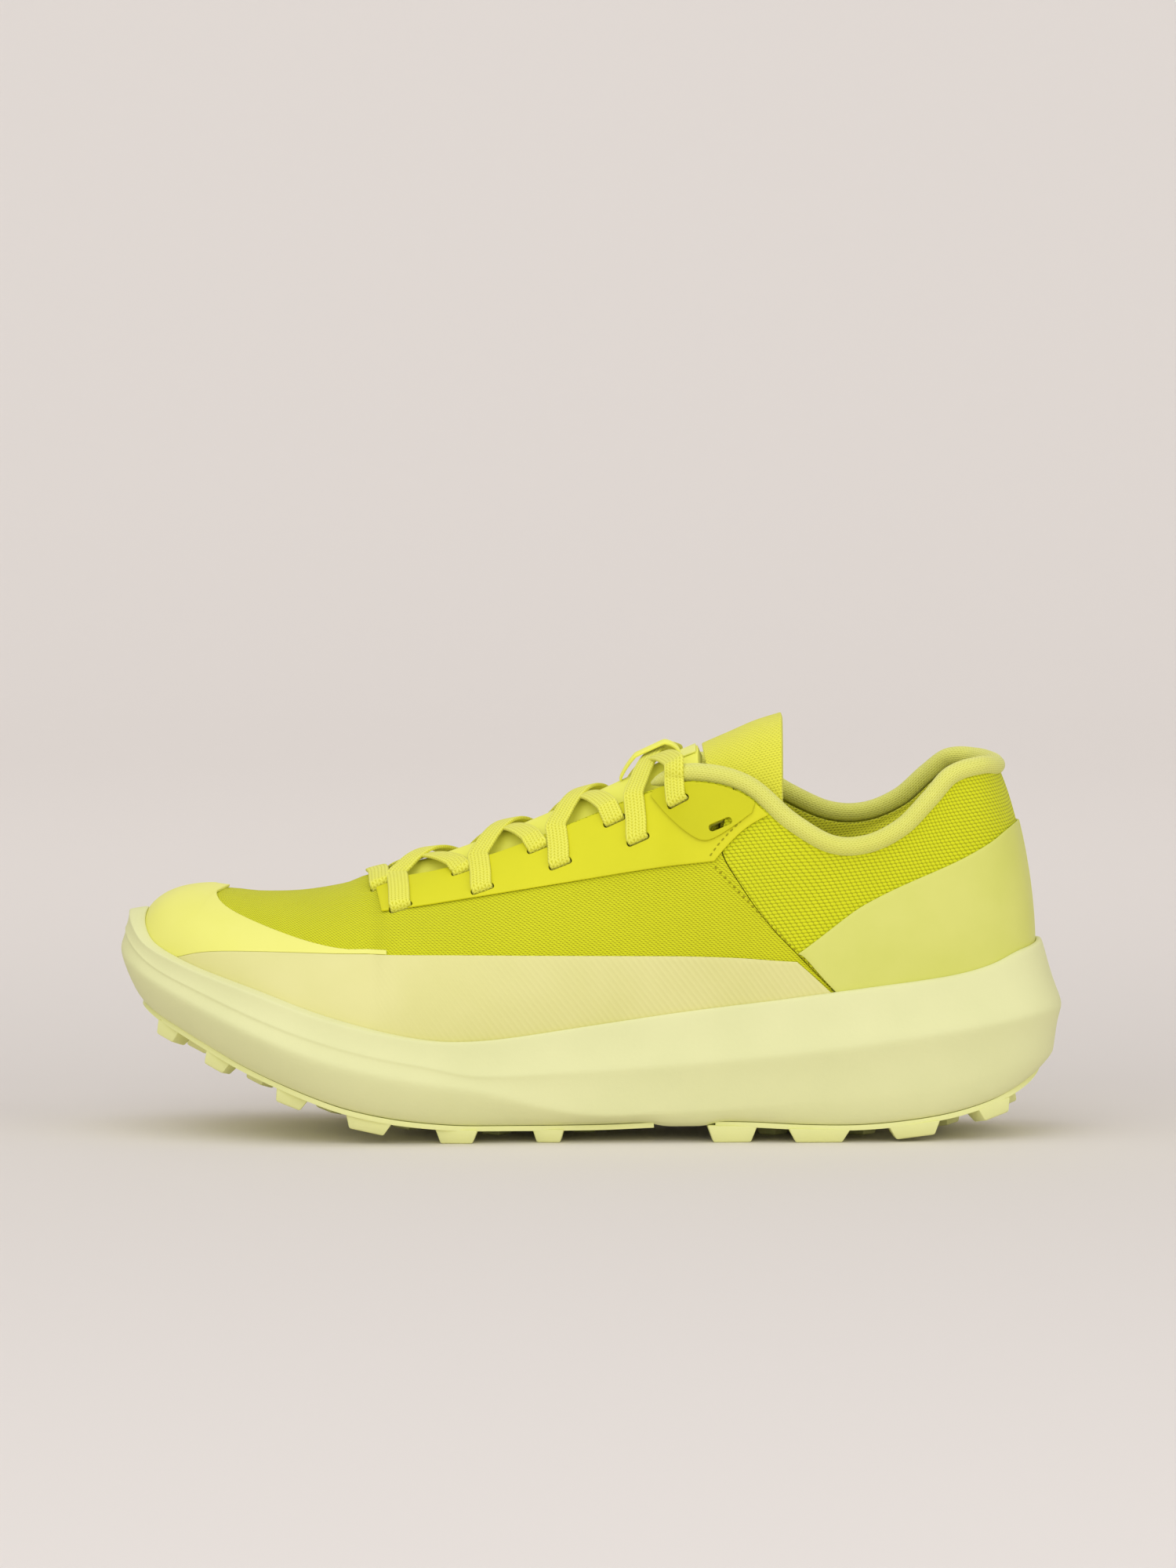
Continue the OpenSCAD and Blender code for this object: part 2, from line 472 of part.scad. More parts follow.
// angle, top edge of the toe cap
cap_top = [[124, 58.5], [130, 61.5], [138, 67.5], [146, 71.5], [151, 74]];
cap_first = 13;      // row of the forefoot mesh where the cap starts, and where it reaches the ridge
cap_full = 20;
function cap_low(k) = let (w = fore_angle(fore_rows[k], 0)) k > mud_row ? 0.01 : mud_share(w) + 0.014;
function cap_high(k) = let (w = fore_angle(fore_rows[k], 0)) k >= cap_full ? 1 : rib_at(w,
    lug_h + (smooth(cap_top, w) - 4) * kz);
module toe_cap() {
    final = len(fore_rows) - 1;
    rows = concat([for (k = [cap_first : final]) [-1, k]], [for (k = [final - 1 : -1 : cap_first]) [1, k]]);
        // the cap stands a little higher towards the ridge, where the toe is roundest
    function line(d) = [for (r = rows) [for (c = steps(6))
        off(r[0] * fore_angle(fore_rows[r[1]], 0), mix(cap_low(r[1]), cap_high(r[1]), c),
            d + smooth([[0, 0], [0.4, 0], [0.7, 0.65], [1, 0.85]], c))]];
    color([0.95, 0.94, 0.55])
        shell(line(1.5 * film_in), line(0.5 * film_in + film_out), ridge_from = cap_full - cap_first,
            ridge_to = len(rows) - 1 - (cap_full - cap_first));
}
// Lower edge of the eyestay and of its raised patch, as X and Z
eyestay_low = [[-66, 72], [-47.9, 74.7], [-13.2, 80.6], [23.9, 87], [39.2, 89]];
eyestay_lean = [-4, 17];     // how far the front and rear edges lean, in X, from bottom to top
module eyestay(s) {
    grid = [for (k = [0 : 16]) let (x = mix(39.2, -66, k / 16), z = smooth(eyestay_low, x),
        low = place(s, x, z),
                                    high = angle_at(s, kx * (x + mix(eyestay_lean[1], eyestay_lean[0],
                                        k / 16)), film_end))
        [for (c = steps(4)) [mix(low[0], high, c), mix(low[1], film_end, c)]]];
    color([0.87, 0.86, 0.25]) difference() {
        patch(rising(s, grid), film_in, film_out);
        slots(s);
    }
}
patch_low = [[19, 108.8], [26, 101.6], [33, 96.2], [37.5, 95.4], [45, 99.6], [51, 104]];
patch_t = 0.5;       // how far the raised patch stands out
patch_end = 0.97;    // share of the rib where the patch stops
module eyestay_patch(s) {
    grid = [for (k = [0 : 8]) let (x = mix(51, 19.5, k / 8), low = place(s, x, smooth(patch_low, x)),
        high = angle_at(s, kx * (x + 1), patch_end))
        [for (c = steps(3)) [mix(low[0], high, c), mix(low[1], patch_end, c)]]];
    color([0.84, 0.83, 0.12]) difference() {
        patch(rising(s, grid), film_out + layer_gap, film_out + layer_gap + patch_t);
        slot(s, slots_up[4]);
        slot(s, slots_low[4]);
    }
}
roll_end = 82;       // angle where the rolled edge starts on each side
// Middle of the rolled edge: square to the top edge, in the plane of the mesh
function roll_at(w) =
    let (along = unit(top_edge(min(w + 0.5, 180)) - top_edge(w - 0.5)),
        up = unit(last(w, 1) - last(w, 0.96)), square = unit(up - (up * along) * along))
    last(w, 1) + (roll_r + 2 * layer_gap) * square - mesh_t / 2 * last_normal(w, 1);
module collar_roll() {
    color([0.86, 0.86, 0.4]) tube([for (k = [-26 : 26]) roll_at(roll_end * k / 26)], roll_r, 10);
}

// ---------- tongue ----------
wing_from = 0.76;    // share of the rib where the tongue's wings end
// Cross-section of the tongue at angle a: wing, arch, wing; lift moves it off the tongue's outer face
function tongue_row(a, d, lift, wing = wing_from, cells = 3, arch = 8) =
    let (l = off(-a, 1, d), r = off(a, 1, d), m = (l + r) / 2,
        apex = lug_h + (smooth(tongue_tab, m[0] / kx) - 4) * kz + lift,
         peak = [m[0], m[1], 2 * apex - m[2]])
    concat([for (c = [0 : cells - 1]) off(-a, mix(wing, 1, c / cells), d)],
           [for (c = steps(arch)) (1 - c) * (1 - c) * l + 2 * c * (1 - c) * peak + c * c * r],
           [for (c = [cells - 1 : -1 : 0]) off(a, mix(wing, 1, c / cells), d)]);
tongue_front = 118.8;
tongue_rear = 76.8;
module tongue() {
    rows = [for (k = [0 : 16]) mix(tongue_front, tongue_rear, k / 16)];
    color([0.9, 0.9, 0.35]) shell([for (a = rows) tongue_row(a, tongue_out, 0)],
        [for (a = rows) tongue_row(a, tongue_in, -tongue_t)]);
}
patch_rows = [79.5, 78.2, 77];
function crest(a, d, lift) = [for (i = [5 : 9]) tongue_row(a, d, lift)[i]];
module tongue_patch() {
    color([0.94, 0.94, 0.55]) shell([for (a = patch_rows) crest(a, tongue_out, layer_gap + 0.6)],
        [for (a = patch_rows) crest(a, tongue_out, layer_gap)]);
}
// Strap along the tongue that keeps the crossing laces in place: it rises over them and comes down at both ends
keeper_from = 87;
keeper_to = 79.6;
keeper_t = 0.8;
keeper_rise = top_lift + 2 * lace_t + 3 * layer_gap + 1.4;
module lace_keeper() {
    rows = [for (k = [0 : 8]) [mix(keeper_from, keeper_to, k / 8),
        keeper_rise * min(1, 1.8 * pow(sin(180 * k / 8), 0.8))]];
    function line(d) = [for (r = rows) [for (i = [6 : 8]) tongue_row(r[0], tongue_out, 0)[i] + [0, 0,
        layer_gap + r[1] + d]]];
    color([0.9, 0.9, 0.3]) shell(line(keeper_t), line(0));
}
// Flap above the laces: X, height of the crest, height of its lower corners, half width
flap_tab = [[34, 123.4, 101, 18.4], [38, 125.2, 100, 19], [44, 127.8, 99, 20.5], [52, 131.3, 99.5, 22],
    [60.5, 134, 101, 24]];
flap_lean = 5;       // how far behind the crest its lower corners start
flap_t = 2.2;
function flap_row(x, thin) = [for (c = [-6 : 6]) let (p = 15 * c)
    [kx * (x + flap_lean * (1 - cos(p)) * (60.5 - x) / 26),
        centre_y(70) + ky * (smooth(flap_tab, x, 3) - thin) * sin(p),
     lug_h + kz * (mix(smooth(flap_tab, x, 2), smooth(flap_tab, x), pow(cos(p) + 1e-6, 0.85)) - 4) - thin
         * cos(p)]];
module tongue_flap() {
    rows = [for (k = [0 : 5]) mix(35.2, 60.5, k / 5)];
    color([0.86, 0.85, 0.3]) shell([for (x = rows) flap_row(x, 0)], [for (x = rows) flap_row(x, flap_t)]);
}

// ---------- lace ----------
over_d = film_out + layer_gap + lace_t / 2;     // height of the lace's middle where it lies on the upper
under_d = lining_in - under_gap - lace_t / 2;   // and where it runs beneath the lining
function spots(s) = [for (list = [slots_up, slots_low]) [for (p = list) place(s, p[0], p[1])]];
places = [spots(-1), spots(1)];
function hole(s, row, k) = places[s < 0 ? 0 : 1][row][k];
// Direction of a slot's length at a place
function slot_long(w, t) = let (n = last_normal(w, t)) unit(cross(cross(n, slot_run), n));
// A lace ring is a point and the way its width runs, which is always towards the toe
function toeward(u) = u * [1, 0, 0.42] > 0 ? -u : u;
// Through a slot, coming from or going to across, a unit vector in the surface; down or up
function through(w, t, from, to, raise = 0) = let (p = last(w, t), n = last_normal(w, t),
    u = -slot_long(w, t), bend = 1.1, top = over_d + raise)
    [[p + top * n + bend * from, u], [p + (top - 0.3) * n + 0.35 * from, u], [p + (top - bend) * n, u],
     [p + (under_d + bend) * n, u], [p + (under_d + 0.3) * n + 0.35 * to, u], [p + under_d * n + bend * to,
         u]];
function reversed(list) = [for (i = [len(list) - 1 : -1 : 0]) list[i]];
// Way towards the throat in the surface at a place, perpendicular to the slot
function inward(w, t) = let (n = last_normal(w, t), a = cross(n, slot_long(w, t))) a[1] * w > 0 ? -a : a;
// Run over the throat from place a of one side, a lower slot, to place b of the other, an upper slot. It leaves at the
// edge right above slot a; lift is what it clears where it crosses the other run; behind, it goes over the rolled edge.
function run(a, b, lift, behind = false) =
    let (s = sign(a[0]), ea = abs(angle_at(1, last(a[0], a[1])[0] - kx, 1)),
        eb = abs(angle_at(1, last(b[0], b[1])[0] - 2 * kx, 1)),
         l = off(s * ea, 1, over_d), c = roll_at(-s * eb), reach = roll_r + layer_gap + lace_t / 2 + 0.25,
         r = behind ? c + reach * [0, -s * cos(70), sin(70)] : off(-s * eb, 1, over_d), m = (l + r) / 2,
         apex = lug_h + kz * (smooth(tongue_tab, m[0] / kx) - 4) + layer_gap + lace_t / 2 + 0.3
             + (behind ? top_lift : 0),
         peak = [m[0], m[1], 2 * max(apex, m[2] + 0.2) - m[2]], raise = behind ? patch_t + layer_gap : 0,
         points = concat([for (k = [1 : 3]) let (c = 0.18 + 0.82 * k / 4) off(s * mix(abs(a[0]), ea, c),
             mix(a[1], 1, c), over_d)],
                         [for (k = [0 : 9]) let (c = k / 9) (1 - c) * (1 - c) * l + 2 * c * (1 - c) * peak
                             + c * c * r
                             + [0, 0, lift * max(0, sin(180 * c) * 1.25 - 0.25)]],
                         behind ? [for (e = [48, 26, 4, -12]) c + reach * [0, -s * cos(e), sin(e)]]
                                : [for (k = [1 : 3]) let (c = 0.82 * k / 4) off(-s * mix(eb, abs(b[0]), c),
                                    mix(1, b[1], c), over_d)]))
    [for (i = [0 : len(points) - 1])
        let (along = points[min(i + 1, len(points) - 1)] - points[max(i - 1, 0)], c = i / (len(points) - 1),
             n = unit(mix(last_normal(a[0], a[1]), last_normal(b[0], b[1]), c) + [0, 0, 0.4 * sin(180 * c)]))
        [points[i], toeward(unit(cross(n, along)))]];
// Run beneath the lining from place a to place b on one side
function beneath(a, b) = [for (c = [0.4, 0.6]) let (w = mix(a[0], b[0], c), t = mix(a[1], b[1], c)) [off(w,
    t, under_d), -slot_long(w, t)]];
cross_lift = lace_t + layer_gap;
// From the upper slot k on side s down, beneath to the lower slot, up, and over to the upper slot k + 1 of the other side
function dive(s, k) = let (h = hole(s, 0, k), in = inward(h[0], h[1])) through(h[0], h[1], in, -in,
    k == 4 ? patch_t + 2.4 * layer_gap : 0);
function rise(s, k) = let (h = hole(s, 1, k), in = inward(h[0], h[1])) reversed(through(h[0], h[1], in, in));
function stage(s, k) =
    concat(dive(s, k), beneath(hole(s, 0, k), hole(s, 1, k)), rise(s, k),
           run(hole(s, 1, k), hole(-s, 0, k + 1), s < 0 ? cross_lift : 0, k == 3));
// Half of the lace from the bar at the throat's front: it changes sides at every stage and ends tucked under the lining
tuck = [[27, 101, 0], [26, 93, 1], [26, 86, 1]];   // X, Z, how much deeper than the other runs
function half_lace(s) = concat(stage(s, 0), stage(-s, 1), stage(s, 2), stage(-s, 3), dive(s, 4),
    [for (q = tuck) let (at = place(s, q[0], q[1])) [off(at[0], at[1], under_d - q[2]),
        -slot_long(at[0], at[1])]]);
module lace() {
    bar = run(hole(-1, 0, 0), hole(1, 0, 0), 0);
    rings = concat(reversed(half_lace(-1)), bar, half_lace(1));
    n = len(rings);
    frames = [for (i = [0 : n - 1])
        let (along = unit(rings[min(i + 1, n - 1)][0] - rings[max(i - 1, 0)][0]),
            v = unit(cross(along, rings[i][1])), u = cross(v, along))
        [for (q = [[1, 1], [-1, 1], [-1, -1], [1, -1]]) rings[i][0] + q[0] * lace_w / 2 * u + q[1]
            * lace_t / 2 * v]];
    wall = [for (i = [0 : n - 2]) for (k = [0 : 3]) for (f = quad(i * 4 + k, (i + 1) * 4 + k,
        (i + 1) * 4 + (k + 1) % 4, i * 4 + (k + 1) % 4)) f];
    color([0.9, 0.9, 0.3]) polyhedron([for (r = frames) for (p = r) p],
        concat([[0, 1, 2], [0, 2, 3]], wall,
            [for (f = [[2, 1, 0], [3, 2, 0]]) [for (k = f) k + 4 * (n - 1)]]));
}

outsole_forefoot();
outsole_heel();
midsole();
strobel_board();
sockliner();
vamp_mesh();
rear_quarter();
vamp_lining();
heel_counter();
collar_foam();
collar_lining();
mudguard(-1);  // mudguard_lateral
mudguard(1);  // mudguard_medial
toe_cap();
heel_overlay(-1);  // heel_overlay_lateral
heel_overlay(1);  // heel_overlay_medial
heel_strip();
eyestay(-1);  // eyestay_lateral
eyestay(1);  // eyestay_medial
eyestay_patch(-1);  // eyestay_patch_lateral
eyestay_patch(1);  // eyestay_patch_medial
collar_roll();
tongue();
tongue_patch();
tongue_flap();
lace_keeper();
lace();
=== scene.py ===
import math
import bpy
import numpy as np
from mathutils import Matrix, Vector


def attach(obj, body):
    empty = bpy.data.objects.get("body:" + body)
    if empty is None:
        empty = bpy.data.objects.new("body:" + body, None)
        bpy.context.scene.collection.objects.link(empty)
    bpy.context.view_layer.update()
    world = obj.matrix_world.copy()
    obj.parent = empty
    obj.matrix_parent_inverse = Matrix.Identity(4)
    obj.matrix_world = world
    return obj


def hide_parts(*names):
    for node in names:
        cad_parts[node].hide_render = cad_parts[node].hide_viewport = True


# Low-cut trail running shoe, left foot: toe at -X, heel at +X, outer side at -Y.
# Every piece of the upper is a flat grid laid on one last surface. A place on the last is [w, t]:
# w is the angle round it, 0 at the heel, -180 or 180 at the toe, below 0 on the outer side;
# t is 0 at the feather line and 1 at the top edge. The last is worked out in millimetres.

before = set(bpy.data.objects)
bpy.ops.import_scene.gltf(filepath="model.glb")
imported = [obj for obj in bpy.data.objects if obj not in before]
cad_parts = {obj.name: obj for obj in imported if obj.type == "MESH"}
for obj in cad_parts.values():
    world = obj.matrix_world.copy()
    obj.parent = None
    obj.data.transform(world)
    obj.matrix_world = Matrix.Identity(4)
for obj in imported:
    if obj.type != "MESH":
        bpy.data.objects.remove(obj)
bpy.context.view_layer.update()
print("frame loaded")

# The last
last = {
    "halfLength": 150, "bluntness": 0.62, "ridgeAngle": 119.5,
    # angle, half width on the outer side, on the inner side
    "halfWidth": [
        (0, 55, 55), (18, 56, 55.5), (36, 54, 52.5), (50, 51.5, 49.5), (66, 47, 44.5), (82, 43.5, 39.5),
        (98, 47, 42), (110, 55, 51.5), (120, 62, 59.3), (132, 65.7, 64.7), (146, 62, 61.5), (160, 55, 54),
        (180, 50, 49)],
    "swing": [(0, -2.7), (50, -2.7), (85, -2.2), (110, -0.7), (130, 1.8), (150, 4.8), (180, 7.8)],
    # x, z of the sole's underside between the lugs
    "underside": [
        (-148, 46), (-144, 41.5), (-138, 37), (-130.7, 33.1), (-121.5, 28.2), (-112, 23.2), (-99.8, 17.8),
        (-87.4, 12.9), (-77.5, 9.6), (-62.7, 6.4), (-47.9, 4.6), (-36, 4), (1.6, 4), (26, 4.9), (50, 4.9),
        (68, 4.1), (84, 4), (97, 4.9), (110, 6.6), (120, 8.8), (130, 12.2), (139, 17.2), (144, 22.5),
        (148, 30)],
    # angle, footbed, rim, inset of the rim, widest line
    "sole": [
        (0, 43, 62, 6.4, 47), (10, 42.6, 61, 6.4, 46.6), (18, 42, 59.5, 6.4, 45.6),
        (26, 41.2, 56, 6.5, 43.6), (35, 40, 53, 6.5, 41), (49, 37.8, 49.8, 6.2, 36.5),
        (59, 36, 47.2, 5.8, 32.6), (76, 32.2, 42.4, 5.2, 26.6), (90, 28.6, 37.4, 4.8, 22),
        (100, 26, 33.8, 4.6, 19.8), (105, 25.2, 32.8, 4.5, 19.6), (110, 25.2, 33, 4.4, 20.6),
        (117, 27, 35.7, 4.2, 23.6), (126, 31.8, 40.8, 4, 29), (138, 40, 48.7, 3.8, 37.6),
        (154, 49.5, 56.5, 3.4, 47.2), (165, 54, 61.5, 3, 52.6), (172, 56, 66, 3, 55.6),
        (180, 56.5, 70.5, 3, 58)],
    # angle, x, half gap, z on the outer side, z on the inner side
    "topEdge": [
        (0, 130.5, 0, 115, 115), (12, 129, 10.5, 115.4, 115.4), (24, 124, 19.5, 116, 116),
        (34, 115.5, 25, 113.5, 115.5), (40, 109, 27.5, 106.5, 110.5), (46, 100, 29.5, 97.5, 102.5),
        (53, 88, 31, 91.8, 97.5), (60, 75, 31.5, 92, 98), (65, 62, 30.5, 99.5, 104),
        (71, 48, 28, 111, 112.5), (77, 32, 24, 114.2, 114.2), (82, 19.5, 19, 110.6, 110.6),
        (90, -2, 16, 101.5, 101.5), (100, -26, 14.5, 91.6, 91.6), (108, -45, 13, 85.2, 85.2),
        (114, -58, 11, 82.2, 82.2), (117, -65, 8, 81.3, 81.3), (119.5, -70.5, 0, 82, 82),
        (123, -78, 0, 79.2, 79.2), (130, -91, 0, 76.9, 76.9), (138, -104, 0, 76.4, 76.4),
        (146, -111.5, 0, 77, 77), (156, -115.5, 0, 77.3, 77.3), (168, -118.5, 0, 77.6, 77.6),
        (180, -120, 0, 77.8, 77.8)],
    # angle, reach and rise of the rib's lower handle, reach and drop of its upper handle
    "ribs": [
        (0, 3.6, 22, 6.5, 15), (30, 3.8, 21, 6, 17), (50, 4.2, 18, 4, 17), (66, 4.5, 22, 6, 24),
        (76, 4.5, 25, 9, 24), (84, 5, 25, 13, 20), (95, 6, 25, 15, 14), (106, 6, 22, 18, 10),
        (117, 6, 20, 22, 4), (124, 5, 20, 25, 0), (132, 5, 18, 23, 0), (146, 4, 16, 19, 0),
        (165, 2, 13, 17, 0), (180, 1, 13, 16, 0)],
    "tongue": [(-72, 80.6), (-62, 84.5), (-48, 88.4), (-25, 97), (-1, 107.3), (24, 119), (34, 123.4)],
    "seam": [(0, 52), (0.2, 56.5), (0.4, 61.6), (0.5, 65.4), (0.6, 69.6), (0.72, 73), (0.86, 73), (1, 72)],
    "slotsUp": [(-66.5, 79.3), (-40.4, 84), (-16.4, 91.6), (7.8, 100.5), (28.3, 107)],
    "slotsLow": [(-60.2, 73.4), (-34.2, 78.9), (-9.5, 87), (15.2, 95), (41.2, 100.3)],
}
layers = {"gap": 0.3, "mesh": 1.2, "film": 0.7, "lining": 1.0, "foam": 6.0, "counter": 1.4, "tongue": 4.0,
          "raised": 0.5, "rubber": 1.6, "rim": 2.6, "roll": 3.0, "underLace": 0.6,
          "board": 1.2, "sockliner": 4.5}
lace = {"width": 6.8, "thick": 1.3, "slotRoom": 0.6, "rearLift": 1.2, "steps": 1500}
filmHigh = layers["gap"] + layers["film"]
liningHigh = -layers["mesh"] - layers["gap"]
liningLow = liningHigh - layers["lining"]
tongueHigh = liningLow - lace["thick"] - 2 * layers["underLace"]
featherInset = layers["rim"] + 2 * layers["gap"] + layers["film"]


def smooth(table, x, column=1):
    table = np.array(table, float)
    at, value = table[:, 0], table[:, column]
    x = np.clip(x, at[0], at[-1])
    i = np.clip(np.searchsorted(at, x, side="right") - 1, 0, len(at) - 2)
    slope = np.gradient(value)
    slope[1:-1] = (value[2:] - value[:-2]) / (at[2:] - at[:-2])
    slope[0] = (value[1] - value[0]) / (at[1] - at[0])
    slope[-1] = (value[-1] - value[-2]) / (at[-1] - at[-2])
    step = at[i + 1] - at[i]
    s = (x - at[i]) / step
    return ((2 * s**3 - 3 * s**2 + 1) * value[i] + (s**3 - 2 * s**2 + s) * step * slope[i]
            + (3 * s**2 - 2 * s**3) * value[i + 1] + (s**3 - s**2) * step * slope[i + 1])


def mix(a, b, s):
    return a + (b - a) * s


def unit(v):
    return v / np.maximum(np.linalg.norm(v, axis=-1, keepdims=True), 1e-9)


def stack3(x, y, z):
    x, y, z = np.broadcast_arrays(x, y, z)
    return np.stack([x, y, z], -1).astype(float)


def underZ(x):
    return smooth(last["underside"], x)


def soleColumn(w, column):
    return smooth(last["sole"], np.abs(w), column)


def bedZ(x):
    return soleColumn(np.degrees(np.arccos(np.clip(x / last["halfLength"], -1, 1))), 1)


def solePoint(w, inset, z):
    a = np.abs(w)
    half = np.where(w < 0, smooth(last["halfWidth"], a, 1), smooth(last["halfWidth"], a, 2))
    half = half * np.maximum(np.sin(np.radians(a)), 0) ** last["bluntness"] * (1 - inset / 48)
    return stack3((last["halfLength"] - inset) * np.cos(np.radians(a)),
                  smooth(last["swing"], a) + np.sign(w) * half, z)


def topEdge(w):
    a = np.abs(w)
    return stack3(smooth(last["topEdge"], a, 1),
                  smooth(last["swing"], a)
                  + np.sign(w) * np.maximum(0, smooth(last["topEdge"], a, 2)) * (a < last["ridgeAngle"]),
                  np.where(w < 0, smooth(last["topEdge"], a, 3), smooth(last["topEdge"], a, 4)))


def lastPoint(w, t):
    w, t = np.broadcast_arrays(np.asarray(w, float), np.asarray(t, float))
    a = np.abs(w)
    low = solePoint(w, soleColumn(w, 3) + featherInset, soleColumn(w, 1) + layers["board"])
    high = topEdge(w)
    out = unit((low - high) * np.array([1, 1, 0]))
    one = low + out * smooth(last["ribs"], a, 1)[..., None]
    one[..., 2] += smooth(last["ribs"], a, 2)
    two = high + out * smooth(last["ribs"], a, 3)[..., None]
    two[..., 2] -= smooth(last["ribs"], a, 4)
    t, r = t[..., None], 1 - t[..., None]
    return r**3 * low + 3 * r**2 * t * one + 3 * r * t**2 * two + t**3 * high


def lastNormal(w, t):
    w, t = np.broadcast_arrays(np.asarray(w, float), np.asarray(t, float))
    a = np.abs(w)
    up = lastPoint(w, np.minimum(1, t + 0.004)) - lastPoint(w, np.maximum(0, t - 0.004))
    along = lastPoint(np.minimum(w + 0.4, 180), t) - lastPoint(np.maximum(w - 0.4, -180), t)
    n = unit(np.cross(along, up))
    toe = unit(stack3(-up[..., 2], 0, up[..., 0]))
    n = np.where((a > 179.9)[..., None], toe, n)
    ridge = topEdge(np.minimum(a + 0.4, 180)) - topEdge(a - 0.4)
    ridge = unit(stack3(ridge[..., 2], 0, -ridge[..., 0]))
    return np.where(((t > 0.9999) & (a > last["ridgeAngle"] - 0.01))[..., None], ridge, n)


def lift(w, t, depth):
    return lastPoint(w, t) + np.asarray(depth, float)[..., None] * lastNormal(w, t)


def ribAt(w, z):
    w, z = np.broadcast_arrays(np.asarray(w, float), np.asarray(z, float))
    low, high = np.zeros(w.shape), np.ones(w.shape)
    for turn in range(22):
        middle = (low + high) / 2
        below = lastPoint(w, middle)[..., 2] < z
        low, high = np.where(below, middle, low), np.where(below, high, middle)
    return (low + high) / 2


def angleAt(side, x, t):
    x, t = np.broadcast_arrays(np.asarray(x, float), np.asarray(t, float))
    low, high = np.full(x.shape, 20.0), np.full(x.shape, 150.0)
    for turn in range(24):
        middle = (low + high) / 2
        behind = lastPoint(side * middle, t)[..., 0] > x
        low, high = np.where(behind, middle, low), np.where(behind, high, middle)
    return side * (low + high) / 2


def placeAt(side, x, z):
    t = np.full(np.shape(x), 0.7)
    for turn in range(7):
        w = angleAt(side, x, t)
        t = ribAt(w, z)
    return w, t


def seamAt(t):
    return smooth(last["seam"], t)


# Tools
def deselectAll():
    if bpy.context.object and bpy.context.object.mode != "OBJECT":
        bpy.ops.object.mode_set(mode="OBJECT")
    bpy.ops.object.select_all(action="DESELECT")


def activate(obj):
    deselectAll()
    obj.select_set(True)
    bpy.context.view_layer.objects.active = obj


def layGrid(name, columns, rows, shape, flat=None):
    # shape gives the points in millimetres and flat the UVs for the grid's u and v from 0 to 1
    deselectAll()
    bpy.ops.mesh.primitive_grid_add(x_subdivisions=columns, y_subdivisions=rows, size=1)
    obj = bpy.context.object
    obj.name = obj.data.name = name
    at = np.empty(len(obj.data.vertices) * 3)
    obj.data.vertices.foreach_get("co", at)
    u, v = np.clip(at[0::3] + 0.5, 0, 1), np.clip(at[1::3] + 0.5, 0, 1)
    points = shape(u, v)
    obj.data.vertices.foreach_set("co", (points * 0.001).ravel())
    if flat:
        corner = np.empty(len(obj.data.loops), int)
        obj.data.loops.foreach_get("vertex_index", corner)
        x, y = flat(u, v)
        obj.data.uv_layers[0].data.foreach_set("uv", np.stack([x[corner], y[corner]], 1).ravel())
    obj.data.update()
    return obj


def editMesh(obj, *steps):
    activate(obj)
    bpy.ops.object.mode_set(mode="EDIT")
    for step in steps:
        bpy.ops.mesh.select_all(action="SELECT")
        step()
    bpy.ops.object.mode_set(mode="OBJECT")


def weld():
    bpy.ops.mesh.remove_doubles(threshold=0.00002)


def outward():
    bpy.ops.mesh.normals_make_consistent(inside=False)


def closeEnds():
    bpy.ops.mesh.select_all(action="DESELECT")
    bpy.ops.mesh.select_non_manifold(extend=False, use_wire=False, use_multi_face=False,
                                     use_non_contiguous=False, use_verts=False)
    bpy.ops.mesh.fill()


def applyModifier(obj, kind, **settings):
    activate(obj)
    modifier = obj.modifiers.new(kind.lower(), kind)
    for name, value in settings.items():
        setattr(modifier, name, value)
    bpy.ops.object.modifier_apply(modifier=modifier.name)


def thicken(obj, thick, offset=1, edge=0.0, segments=2):
    applyModifier(obj, "SOLIDIFY", thickness=thick * 0.001, offset=offset, use_even_offset=False,
                  use_rim=True)
    if edge:
        applyModifier(obj, "BEVEL", width=edge * 0.001, segments=segments, limit_method="ANGLE",
                      angle_limit=math.radians(50))


def smoothFaces(obj, angle=35):
    activate(obj)
    bpy.ops.object.shade_smooth_by_angle(angle=math.radians(angle))


def joinAll(name, objects):
    deselectAll()
    for obj in objects:
        obj.select_set(True)
    bpy.context.view_layer.objects.active = objects[0]
    bpy.ops.object.join()
    objects[0].name = objects[0].data.name = name
    return objects[0]


def done(obj, material, nodes=(), body="shoe", angle=35):
    smoothFaces(obj, angle)
    obj.data.materials.clear()
    obj.data.materials.append(material)
    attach(obj, body)
    if nodes:
        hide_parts(*nodes)
    return obj


# Materials
def tone(red, green, blue):
    def linear(c):
        c = c / 255
        return c / 12.92 if c <= 0.04045 else ((c + 0.055) / 1.055) ** 2.4
    return (linear(red), linear(green), linear(blue), 1)


def node(tree, kind, at=(0, 0), **settings):
    new = tree.nodes.new(kind)
    new.location = at
    for name, value in settings.items():
        setattr(new, name, value)
    return new


def math2(tree, operation, *values, clamp=False):
    new = node(tree, "ShaderNodeMath", operation=operation, use_clamp=clamp)
    for i, value in enumerate(values):
        if isinstance(value, (int, float)):
            new.inputs[i].default_value = value
        else:
            tree.links.new(value, new.inputs[i])
    return new.outputs[0]


def mathsOf(tree):
    # the sums a node tree needs, each as a call that gives the new node's output
    def call(operation, clamp=False):
        return lambda *values: math2(tree, operation, *values, clamp=clamp)
    names = ("ADD", "SUBTRACT", "MULTIPLY", "DIVIDE", "POWER", "FLOOR", "MODULO", "ABSOLUTE", "SINE")
    return [call(name) for name in names] + [call("SUBTRACT", True)]


